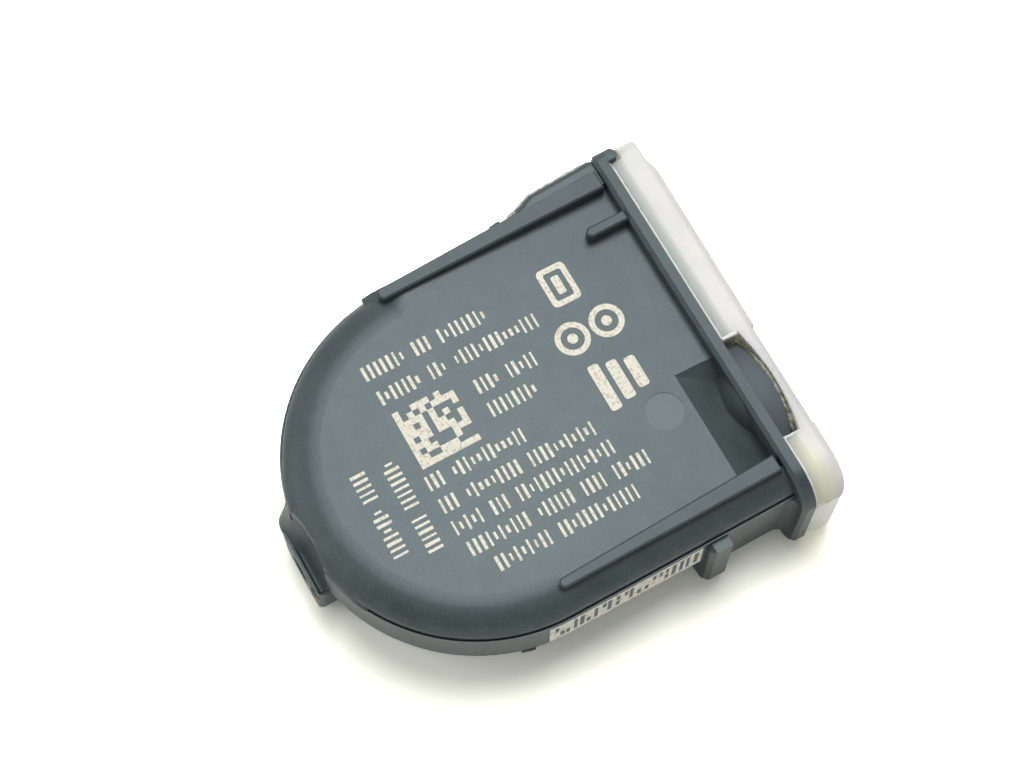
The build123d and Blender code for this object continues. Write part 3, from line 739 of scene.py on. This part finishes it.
# cream field on the near wall, with a row of dark strokes
wallStrip = {
    "startX": -2.3,
    "endX": 13.2,
    "low": 6.5,
    "high": 10.9,
    "radius": 17.6,
    "proud": 0.02,
    "sunk": -0.04,
    "steps": 48,
}


def wallPoint(x, lift):
    radius = (wallStrip["radius"] + lift) * mm
    if x < 0.0:
        return (x, -math.sqrt(radius * radius - x * x))
    return (x, -radius)


stripCorners = (("proud", "low"), ("proud", "high"), ("sunk", "high"), ("sunk", "low"))
around = len(stripCorners)
stripVerts = []
stripFaces = []
stripSpan = (wallStrip["endX"] - wallStrip["startX"]) * mm
for step in range(wallStrip["steps"] + 1):
    x = wallStrip["startX"] * mm + stripSpan * step / wallStrip["steps"]
    for lift, height in stripCorners:
        stripVerts.append((*wallPoint(x, wallStrip[lift]), wallStrip[height] * mm))
for step in range(wallStrip["steps"]):
    for side in range(around):
        here = step * around + side
        after = step * around + (side + 1) % around
        stripFaces.append((after, here, here + around, after + around))
last = wallStrip["steps"] * around
stripFaces.append(tuple(range(around)))
stripFaces.append(tuple(last + side for side in reversed(range(around))))
meshPiece("wallField", stripVerts, stripFaces, stripFinish)

wallStrokes = {
    "wide": 0.34,
    "thick": 0.08,
    "pitch": 0.66,
    "pitchRange": (0.8, 1.3),
    "margin": 0.7,
    "full": 2.9,
    "part": 1.2,
    "kinds": ("full", "full", "low", "high", "both"),
    "seed": 5,
}
wallHeights = {"full": 8.85, "low": 8.0, "high": 9.7}
wallPoints = {"full": [], "part": []}
place = wallStrip["startX"] + wallStrokes["margin"]
while place < wallStrip["endX"] - wallStrokes["margin"] / 2:
    foot = wallPoint(place * mm, 0.0)
    kind = chance.choice(wallStrokes["kinds"])
    if kind == "full":
        wallPoints["full"].append((*foot, wallHeights["full"] * mm))
    if kind in ("low", "both"):
        wallPoints["part"].append((*foot, wallHeights["low"] * mm))
    if kind in ("high", "both"):
        wallPoints["part"].append((*foot, wallHeights["high"] * mm))
    place += wallStrokes["pitch"] * chance.uniform(*wallStrokes["pitchRange"])
for kind, pieceName in (("full", "wallStrokes"), ("part", "wallTicks")):
    growPiece(
        pieceName,
        wallPoints[kind],
        [],
        strokes,
        strokeIds,
        {
            "Wide": wallStrokes["wide"] * mm,
            "Tall": wallStrokes[kind] * mm,
            "Thick": wallStrokes["thick"] * mm,
            "Short Share": 0.0,
            "Turn": (math.pi / 2, 0.0, 0.0),
            "Seed": wallStrokes["seed"],
            "Finish": housingFinish,
        },
    )
print("wall strip:", len(wallPoints["full"]) + len(wallPoints["part"]), "strokes")


# smooth fillings that run into the moulding: rows of (x, y, top, bottom), along +X then +Y
def slabPiece(name, rows, finish):
    across = len(rows[0])
    flatRows = [point for row in rows for point in row]
    verts = [(x * mm, y * mm, top * mm) for x, y, top, bottom in flatRows]
    verts += [(x * mm, y * mm, bottom * mm) for x, y, top, bottom in flatRows]
    base = len(flatRows)
    lastRow = base - across
    faces = []
    for start in range(0, lastRow, across):
        for here in range(start, start + across - 1):
            after = here + across
            faces.append((here, here + 1, after + 1, after))
            faces.append((base + here, base + after, base + after + 1, base + here + 1))
    smoothCount = len(faces)
    rim = list(range(across))
    rim += list(range(2 * across - 1, base, across))
    rim += list(range(base - 2, lastRow - 1, -1))
    rim += list(range(lastRow - across, 0, -across))
    for here, after in zip(rim, rim[1:] + rim[:1]):
        faces.append((here, base + here, base + after, after))
    piece = meshPiece(name, verts, faces, finish)
    for face in list(piece.data.polygons)[:smoothCount]:
        face.use_smooth = True


def ease(start, end, value):
    share = min(max((value - start) / (end - start), 0.0), 1.0)
    return share * share * (3.0 - 2.0 * share)


def evenSteps(start, end, count):
    return [start + (end - start) * step / count for step in range(count + 1)]


# the label face runs level to the far rail, over the start of the rolled edge
labelInfill = {
    "startX": -1.0,
    "fullX": 1.5,
    "endX": 8.4,
    "innerY": 13.4,
    "outerY": 16.0,
    "rollStart": 13.81,
    "rollWidth": 3.55,
    "rollFoot": 11.55,
    "rollTop": 13.4,
    "under": 0.004,
    "startUnder": 0.05,
    "startCurve": 3,
    "deep": 0.6,
    "rows": 14,
    "columns": 32,
}


def rolledEdge(x, y):
    out = math.hypot(min(x, 0.0), y) - labelInfill["rollStart"]
    share = min(max(out / labelInfill["rollWidth"], 0.0), 1.0)
    foot = labelInfill["rollFoot"]
    return foot + (labelInfill["rollTop"] - foot) * math.sqrt(1.0 - share * share)


infillRows = []
for y in evenSteps(labelInfill["innerY"], labelInfill["outerY"], labelInfill["rows"]):
    row = []
    for x in evenSteps(labelInfill["startX"], labelInfill["endX"], labelInfill["columns"]):
        roll = rolledEdge(x, y)
        level = labelHeight(x * mm) / mm
        share = ease(labelInfill["startX"], labelInfill["fullX"], x)
        startSunk = labelInfill["startUnder"] * (1.0 - share) ** labelInfill["startCurve"]
        top = min(level, roll + share * (level - roll)) - (labelInfill["under"] + startSunk)
        row.append((x, y, top, top - labelInfill["deep"]))
    infillRows.append(row)
slabPiece("labelInfill", infillRows, housingFinish)

# the lug's scoop is a smooth hollow that climbs to the body at its far end
lugHollow = {
    "nearY": -3.58,
    "farY": 4.95,
    "climbStart": 0.2,
    "climbEnd": 4.4,
    "wallClimbEnd": 3.0,
    "rimX": -18.2,
    "cornerStart": 2.8,
    "cornerY": 3.5,
    "cornerX": -18.42,
    "endX": -16.95,
    "wallX": -16.55,
    "wallStart": 2.2,
    "wallEnd": 3.2,
    "wallRadius": 17.3,
    "bottom": 5.3,
    "floor": (6.0, 7.2),
    "wall": (8.4, 11.5),
    "rim": (6.55, 6.7),
    "wallCurve": 1.7,
    "rimCurve": 6,
    "rows": 56,
    "columns": 18,
}


def lugEdge(y):
    hollow = lugHollow
    if y < hollow["cornerY"]:
        share = ease(hollow["cornerStart"], hollow["cornerY"], y)
        return hollow["rimX"] + share * (hollow["cornerX"] - hollow["rimX"])
    share = (y - hollow["cornerY"]) / (hollow["farY"] - hollow["cornerY"])
    bend = math.sqrt(max(1.0 - share * share, 0.0))
    return hollow["endX"] + (hollow["cornerX"] - hollow["endX"]) * bend


def lugWall(y):
    radius = lugHollow["wallRadius"]
    bodyX = -math.sqrt(radius * radius - y * y)
    share = ease(lugHollow["wallStart"], lugHollow["wallEnd"], y)
    return lugHollow["wallX"] + share * (bodyX - lugHollow["wallX"])


def between(pair, share):
    return pair[0] + (pair[1] - pair[0]) * share


hollowRows = []
for y in evenSteps(lugHollow["nearY"], lugHollow["farY"], lugHollow["rows"]):
    climb = ease(lugHollow["climbStart"], lugHollow["climbEnd"], y)
    wallClimb = ease(lugHollow["climbStart"], lugHollow["wallClimbEnd"], y)
    floorZ = between(lugHollow["floor"], climb)
    wallZ = between(lugHollow["wall"], wallClimb)
    edgeX = lugEdge(y)
    wallX = lugWall(y)
    row = []
    for share in evenSteps(1.0, 0.0, lugHollow["columns"]):
        toWall = (wallZ - floorZ) * (1.0 - share) ** lugHollow["wallCurve"]
        toRim = (between(lugHollow["rim"], climb) - floorZ) * share ** lugHollow["rimCurve"]
        row.append((wallX + (edgeX - wallX) * share, y, floorZ + toWall + toRim, lugHollow["bottom"]))
    hollowRows.append(row)
slabPiece("lugHollow", hollowRows, housingFinish)

# a low ledge steps up where the far rail begins
farLedge = {
    "startX": -2.3,
    "fullX": -1.0,
    "endX": 1.0,
    "startDrop": 0.3,
    "innerY": 16.2,
    "outerY": 17.58,
    "innerZ": 12.92,
    "outerZ": 12.5,
    "foot": 11.35,
    "rows": 4,
    "columns": 12,
}
ledgeRows = []
for y in evenSteps(farLedge["innerY"], farLedge["outerY"], farLedge["rows"]):
    share = (y - farLedge["innerY"]) / (farLedge["outerY"] - farLedge["innerY"])
    level = farLedge["innerZ"] + share * (farLedge["outerZ"] - farLedge["innerZ"])
    row = []
    for x in evenSteps(farLedge["startX"], farLedge["endX"], farLedge["columns"]):
        drop = farLedge["startDrop"] * (1.0 - ease(farLedge["startX"], farLedge["fullX"], x))
        row.append((x, y, level - drop, farLedge["foot"]))
    ledgeRows.append(row)
slabPiece("farLedge", ledgeRows, housingFinish)

# beside the lug the wall rounds straight into the rolled edge, with no groove
plainEdge = {
    "innerRadius": 16.4,
    "outerRadius": 17.585,
    "rollWidth": 3.79,
    "foot": 11.23,
    "rise": 2.15,
    "bottom": 7.2,
    "endDrop": 0.45,
    "endLength": 2.6,
    "lugDrop": 0.5,
    "lugNarrow": 0.95,
    "lugLength": 1.3,
    "rows": 36,
    "columns": 12,
    "spans": {"farPlainEdge": (1.8, 8.1), "nearPlainEdge": (-8.25, -3.62)},
}


def plainHeight(radius):
    share = (radius - labelInfill["rollStart"]) / plainEdge["rollWidth"]
    return plainEdge["foot"] + plainEdge["rise"] * math.sqrt(1.0 - share * share)


for pieceName, (startY, endY) in plainEdge["spans"].items():
    edgeRows = []
    outerEnd = max(abs(startY), abs(endY))
    lugEnd = min(abs(startY), abs(endY))
    for y in evenSteps(startY, endY, plainEdge["rows"]):
        row = []
        drop = plainEdge["endDrop"] * ease(outerEnd - plainEdge["endLength"], outerEnd, abs(y))
        outerRadius = plainEdge["outerRadius"]
        if startY > 0:        # only the far one narrows into the hollow
            nearLug = 1.0 - ease(lugEnd, lugEnd + plainEdge["lugLength"], abs(y))
            drop += plainEdge["lugDrop"] * nearLug
            outerRadius -= plainEdge["lugNarrow"] * nearLug
        for radius in evenSteps(outerRadius, plainEdge["innerRadius"], plainEdge["columns"]):
            x = -math.sqrt(radius * radius - y * y)
            row.append((x, y, plainHeight(radius) - drop, plainEdge["bottom"]))
        edgeRows.append(row)
    slabPiece(pieceName, edgeRows, housingFinish)
print("fillings: label face, lug hollow, far ledge and plain edges")


# ragged beads, grown along a path: weld and mould flash, a pale painted highlight along the far edge, the
# cap's lips and small nubs
beadGrain = {"step": 0.12 * mm, "noiseScale": 1300.0, "noiseLow": 0.3, "noiseHigh": 0.7, "sides": 12}
beadSockets = {
    "Path": "NodeSocketGeometry",
    "Radius": "NodeSocketFloat",
    "Ragged": "NodeSocketFloat",
    "Jitter": "NodeSocketFloat",
    "Step": "NodeSocketFloat",
    "Noise Scale": "NodeSocketFloat",
    "Finish": "NodeSocketMaterial",
}


def beadTree():
    tree, ids, inputs = startTree("raggedBead", beadSockets)
    curve = addNode(tree, "GeometryNodeMeshToCurve")
    join(tree, inputs, "Path", curve, "Mesh")
    fine = addNode(tree, "GeometryNodeResampleCurve", mode="LENGTH")
    join(tree, curve, "Curve", fine, "Curve")
    join(tree, inputs, "Step", fine, "Length")
    where = addNode(tree, "GeometryNodeInputPosition")
    noise = addNode(tree, "ShaderNodeTexNoise", {"Detail": 3.0, "Roughness": 0.65})
    join(tree, where, "Position", noise, "Vector")
    join(tree, inputs, "Noise Scale", noise, "Scale")
    least = addNode(tree, "ShaderNodeMath", {0: 1.0}, operation="SUBTRACT")
    join(tree, inputs, "Ragged", least, 1)
    most = addNode(tree, "ShaderNodeMath", {0: 1.0}, operation="ADD")
    join(tree, inputs, "Ragged", most, 1)
    noiseSpan = {"From Min": beadGrain["noiseLow"], "From Max": beadGrain["noiseHigh"]}
    swell = addNode(tree, "ShaderNodeMapRange", noiseSpan)
    join(tree, noise, "Fac", swell, "Value")
    join(tree, least, "Value", swell, "To Min")
    join(tree, most, "Value", swell, "To Max")
    radius = addNode(tree, "ShaderNodeMath", operation="MULTIPLY")
    join(tree, inputs, "Radius", radius, 0)
    join(tree, swell, "Result", radius, 1)
    centred = addNode(tree, "ShaderNodeVectorMath", {1: (0.5, 0.5, 0.5)}, operation="SUBTRACT")
    join(tree, noise, "Color", centred, 0)
    offset = addNode(tree, "ShaderNodeVectorMath", operation="SCALE")
    join(tree, centred, "Vector", offset, 0)
    join(tree, inputs, "Jitter", offset, "Scale")
    move = addNode(tree, "GeometryNodeSetPosition")
    join(tree, fine, "Curve", move, "Geometry")
    join(tree, offset, "Vector", move, "Offset")
    circle = {"Resolution": beadGrain["sides"], "Radius": 1.0}
    profile = addNode(tree, "GeometryNodeCurvePrimitiveCircle", circle)
    sweep = addNode(tree, "GeometryNodeCurveToMesh", {"Fill Caps": True})
    join(tree, move, "Geometry", sweep, "Curve")
    join(tree, profile, "Curve", sweep, "Profile Curve")
    join(tree, radius, "Value", sweep, "Scale")
    endTree(tree, inputs, sweep, "Mesh")
    return tree, ids


# the cap's near corner, from the notch round and down its side
capCorner = {
    "x": 24.0,
    "y": -15.85,
    "z": 10.3,
    "radius": 3.34,
    "notchY": -12.95,
    "lastTurn": 1.35,
    "steps": 12,
}


def capCornerPath():
    points = [(capCorner["x"], capCorner["notchY"], capCorner["z"] + capCorner["radius"])]
    for step in range(capCorner["steps"] + 1):
        turn = capCorner["lastTurn"] * step / capCorner["steps"]
        y = capCorner["y"] - capCorner["radius"] * math.sin(turn)
        points.append((capCorner["x"], y, capCorner["z"] + capCorner["radius"] * math.cos(turn)))
    return points


flashBeads = {
    "notchFlash": {
        "path": [
            (25.85, -4.4, 12.85),
            (26.0, -5.8, 13.08),
            (26.08, -7.6, 13.25),
            (26.0, -9.6, 13.08),
            (25.78, -11.3, 12.6),
            (25.45, -12.6, 12.2),
        ],
        "radius": 0.21,
        "ragged": 0.7,
        "jitter": 0.4,
        "finish": ashFinish,
    },
    "notchEdge": {
        "path": [
            (25.45, -2.5, 12.95),
            (25.88, -3.9, 12.9),
            (26.16, -5.6, 13.2),
            (26.26, -7.6, 13.36),
            (26.16, -9.6, 13.2),
            (25.94, -11.3, 12.75),
            (25.6, -12.6, 12.35),
        ],
        "radius": 0.11,
        "ragged": 0.8,
        "jitter": 0.45,
        "finish": skinFinish,
    },
    "notchTeeth": {
        "path": [
            (25.75, -2.6, 13.3),
            (26.05, -4.2, 13.25),
            (26.26, -5.8, 13.4),
            (26.33, -7.6, 13.5),
            (26.26, -9.4, 13.4),
            (26.05, -11.0, 13.1),
        ],
        "radius": 0.1,
        "ragged": 0.9,
        "jitter": 0.5,
        "finish": capFinish,
    },
    # painted light: the tab is near white where it faces away from the lamps
    "notchTab": {
        "path": [(24.0, -2.28, 13.62), (24.8, -2.3, 13.62), (25.5, -2.32, 13.56)],
        "radius": 0.19,
        "ragged": 0.25,
        "jitter": 0.08,
        "finish": litLipFinish,
    },
    "lipFlash": {
        "path": [(23.86, 17.6, 13.7), (23.86, 10.0, 13.7), (23.86, -2.2, 13.7)],
        "radius": 0.06,
        "ragged": 0.7,
        "jitter": 0.1,
        "finish": skinFinish,
    },
    # painted light: a bright bead for the lit lip line along the fence
    "lipBead": {
        "path": [(24.0, 17.3, 13.66), (24.0, 8.0, 13.66), (24.0, -2.2, 13.66)],
        "radius": 0.11,
        "ragged": 0.2,
        "jitter": 0.04,
        "finish": litLipFinish,
    },
    # painted highlight along the near block's rim
    "nearLip": {
        "path": capCornerPath(),
        "radius": 0.12,
        "ragged": 0.2,
        "jitter": 0.04,
        "finish": litLipFinish,
    },
    "nearTab": {
        "path": [(24.0, -12.98, 13.58), (24.6, -13.0, 13.44), (25.3, -13.02, 13.56)],
        "radius": 0.16,
        "ragged": 0.25,
        "jitter": 0.06,
        "finish": litLipFinish,
    },
    # painted highlight: a pale bead for the glossy reflection along the far wall's rounded edge
    "farEdgeGlint": {
        "path": [(12.3, 17.55, 12.8), (12.8, 17.72, 12.85), (15.9, 18.86, 12.9), (22.4, 19.16, 12.95)],
        "radius": 0.16,
        "ragged": 0.7,
        "jitter": 0.2,
        "finish": glintFinish,
    },
    "farNub": {
        "path": [(11.3, 17.74, 12.6), (11.8, 17.8, 12.6), (12.3, 17.76, 12.6)],
        "radius": 0.29,
        "ragged": 0.3,
        "jitter": 0.05,
        "finish": housingFinish,
    },
    "skirtNub": {
        "path": [(-4.8, -16.85, 5.78), (-3.5, -17.15, 5.78)],
        "radius": 0.2,
        "ragged": 0.3,
        "jitter": 0.05,
        "finish": housingFinish,
    },
    "creaseRidge": {
        "path": [(24.0, -19.24, 10.3), (25.4, -19.24, 10.35), (26.9, -19.2, 10.3)],
        "radius": 0.06,
        "ragged": 0.5,
        "jitter": 0.08,
        "finish": capFinish,
    },
    "lugFlash": {
        "path": [(-18.45, -1.6, 6.5), (-18.56, -2.5, 6.5), (-18.58, -3.3, 6.42), (-18.42, -3.95, 6.3)],
        "radius": 0.12,
        "ragged": 0.7,
        "jitter": 0.15,
        "finish": skinFinish,
    },
}
beads, beadIds = beadTree()
for name, bead in flashBeads.items():
    path = [(x * mm, y * mm, z * mm) for x, y, z in bead["path"]]
    growPiece(
        name,
        path,
        [(step, step + 1) for step in range(len(path) - 1)],
        beads,
        beadIds,
        {
            "Radius": bead["radius"] * mm,
            "Ragged": bead["ragged"],
            "Jitter": bead["jitter"] * mm,
            "Step": beadGrain["step"],
            "Noise Scale": beadGrain["noiseScale"],
            "Finish": bead["finish"],
        },
    )
print("flash, lips and nubs:", len(flashBeads), "beads")


# camera at the photograph's view
cameraView = {
    "target": (5.495 * mm, 3.320 * mm, 13.329 * mm),
    "azimuth": -29.208,
    "elevation": 70.018,
    "distance": 200.0 * mm,
    "lens": 78.55,
    "sensor": 36.0,
    "clipStart": 0.01,
}


def directionTo(azimuth, elevation):
    turn = math.radians(azimuth)
    lift = math.radians(elevation)
    return Vector((math.sin(turn) * math.cos(lift), -math.cos(turn) * math.cos(lift), math.sin(lift)))


def facing(target, azimuth, elevation, distance):
    back = directionTo(azimuth, elevation)
    right = Vector((0.0, 0.0, 1.0)).cross(back).normalized()
    up = back.cross(right)
    turn = Matrix((right, up, back)).transposed().to_4x4()
    return Matrix.Translation(Vector(target) + back * distance) @ turn


cameraData = bpy.data.cameras.new("photoCamera")
cameraData.lens = cameraView["lens"]
cameraData.sensor_width = cameraView["sensor"]
cameraData.sensor_fit = "HORIZONTAL"
cameraData.clip_start = cameraView["clipStart"]
camera = addObject("photoCamera", cameraData)
camera.matrix_world = facing(
    cameraView["target"], cameraView["azimuth"], cameraView["elevation"], cameraView["distance"]
)
scene.camera = camera

# a large soft lamp above and behind, weak ones at the left and in front
lampSets = {
    "softLamp": {"azimuth": 144.0, "elevation": 73.5, "distance": 0.5, "size": 0.29, "power": 1.84},
    "leftLamp": {"azimuth": -119.0, "elevation": 38.0, "distance": 0.5, "size": 0.35, "power": 0.45},
    "frontLamp": {"azimuth": -25.0, "elevation": 15.0, "distance": 0.5, "size": 0.3, "power": 0.12},
}
for name, lampSet in lampSets.items():
    lampData = bpy.data.lights.new(name, "AREA")
    lampData.shape = "DISK"
    lampData.size = lampSet["size"]
    lampData.energy = lampSet["power"]
    lamp = addObject(name, lampData)
    lamp.matrix_world = facing(
        (0.0, 0.0, 0.0), lampSet["azimuth"], lampSet["elevation"], lampSet["distance"]
    )

# pale floor, brighter to the camera and in reflections than in the light it gives back
floorLook = {
    "half": 2.0,
    "colour": (0.78, 0.78, 0.75, 1.0),
    "seen": (1.74, 1.75, 1.56, 1.0),
    "mirrored": (1.15, 1.15, 1.06, 1.0),
    "whiteStart": 0.12,
    "whiteEnd": 0.3,
}


def seenDirectly(tree):
    path = addNode(tree, "ShaderNodeLightPath")
    cameraOrGloss = addNode(tree, "ShaderNodeMath", operation="MAXIMUM")
    join(tree, path, "Is Camera Ray", cameraOrGloss, 0)
    join(tree, path, "Is Glossy Ray", cameraOrGloss, 1)
    seen = addNode(tree, "ShaderNodeMath", operation="MAXIMUM")
    join(tree, cameraOrGloss, "Value", seen, 0)
    join(tree, path, "Is Transmission Ray", seen, 1)
    return seen


def paleFloor():
    material = bpy.data.materials.new("paleFloor")
    material.use_nodes = True
    tree = material.node_tree
    tree.nodes.clear()
    tones = {colourA: floorLook["colour"], colourB: floorLook["seen"]}
    colour = addNode(tree, "ShaderNodeMix", tones, data_type="RGBA")
    seen = seenDirectly(tree)
    join(tree, seen, "Value", colour, mixShare)
    path = addNode(tree, "ShaderNodeLightPath")
    mirrored = addNode(tree, "ShaderNodeMix", {colourB: floorLook["mirrored"]}, data_type="RGBA")
    join(tree, path, "Is Glossy Ray", mirrored, mixShare)
    join(tree, colour, mixedColour, mirrored, colourA)
    diffuse = addNode(tree, "ShaderNodeBsdfDiffuse")
    join(tree, mirrored, mixedColour, diffuse, "Color")
    # far from the object the floor is seen as plain white, so that it meets the room's horizon
    coords = addNode(tree, "ShaderNodeTexCoord")
    away = addNode(tree, "ShaderNodeVectorMath", operation="LENGTH")
    join(tree, coords, "Object", away, 0)
    distant = softStep(tree, away, "Value", floorLook["whiteStart"], floorLook["whiteEnd"])
    share = bothMasks(tree, distant, seen)
    white = addNode(tree, "ShaderNodeEmission", {"Color": (1.0, 1.0, 1.0, 1.0), "Strength": 1.0})
    blend = addNode(tree, "ShaderNodeMixShader")
    join(tree, share, "Value", blend, 0)
    join(tree, diffuse, "BSDF", blend, 1)
    join(tree, white, "Emission", blend, 2)
    output = addNode(tree, "ShaderNodeOutputMaterial")
    join(tree, blend, "Shader", output, "Surface")
    return material


half = floorLook["half"]
floorMesh = bpy.data.meshes.new("floor")
floorCorners = [(-half, -half, 0.0), (half, -half, 0.0), (half, half, 0.0), (-half, half, 0.0)]
floorMesh.from_pydata(floorCorners, [], [(0, 1, 2, 3)])
floorMesh.materials.append(paleFloor())
floor = addObject("floor", floorMesh)

# white room: white at the horizon, darker overhead, most of all in front; its own light is weak
roomLook = {
    "light": 0.28,
    "horizon": 1.0,
    "overFront": 0.33,
    "overBack": 0.85,
    "frontEnd": -0.15,
    "backStart": 0.5,
    "horizonEnd": 0.2,
    "overheadStart": 0.7,
}


def whiteRoom():
    world = bpy.data.worlds.new("whiteRoom")
    world.use_nodes = True
    tree = world.node_tree
    background = tree.nodes["Background"]
    background.inputs["Color"].default_value = (1.0, 1.0, 1.0, 1.0)
    coords = addNode(tree, "ShaderNodeTexCoord")
    toward = addNode(tree, "ShaderNodeSeparateXYZ")
    join(tree, coords, "Generated", toward, "Vector")
    overhead = addNode(
        tree,
        "ShaderNodeMapRange",
        {
            "From Min": roomLook["frontEnd"],
            "From Max": roomLook["backStart"],
            "To Min": roomLook["overFront"],
            "To Max": roomLook["overBack"],
        },
    )
    join(tree, toward, "Y", overhead, "Value")
    seenRoom = addNode(
        tree,
        "ShaderNodeMapRange",
        {
            "From Min": roomLook["horizonEnd"],
            "From Max": roomLook["overheadStart"],
            "To Min": roomLook["horizon"],
        },
    )
    join(tree, toward, "Z", seenRoom, "Value")
    join(tree, overhead, "Result", seenRoom, "To Max")
    strength = addNode(tree, "ShaderNodeMix", {floatA: roomLook["light"]}, data_type="FLOAT")
    join(tree, seenDirectly(tree), "Value", strength, mixShare)
    join(tree, seenRoom, "Result", strength, floatB)
    join(tree, strength, mixedFloat, background, "Strength")
    return world


scene.world = whiteRoom()
scene.view_settings.view_transform = "Standard"
print("stage: camera,", len(lampSets), "lamps, floor and room")
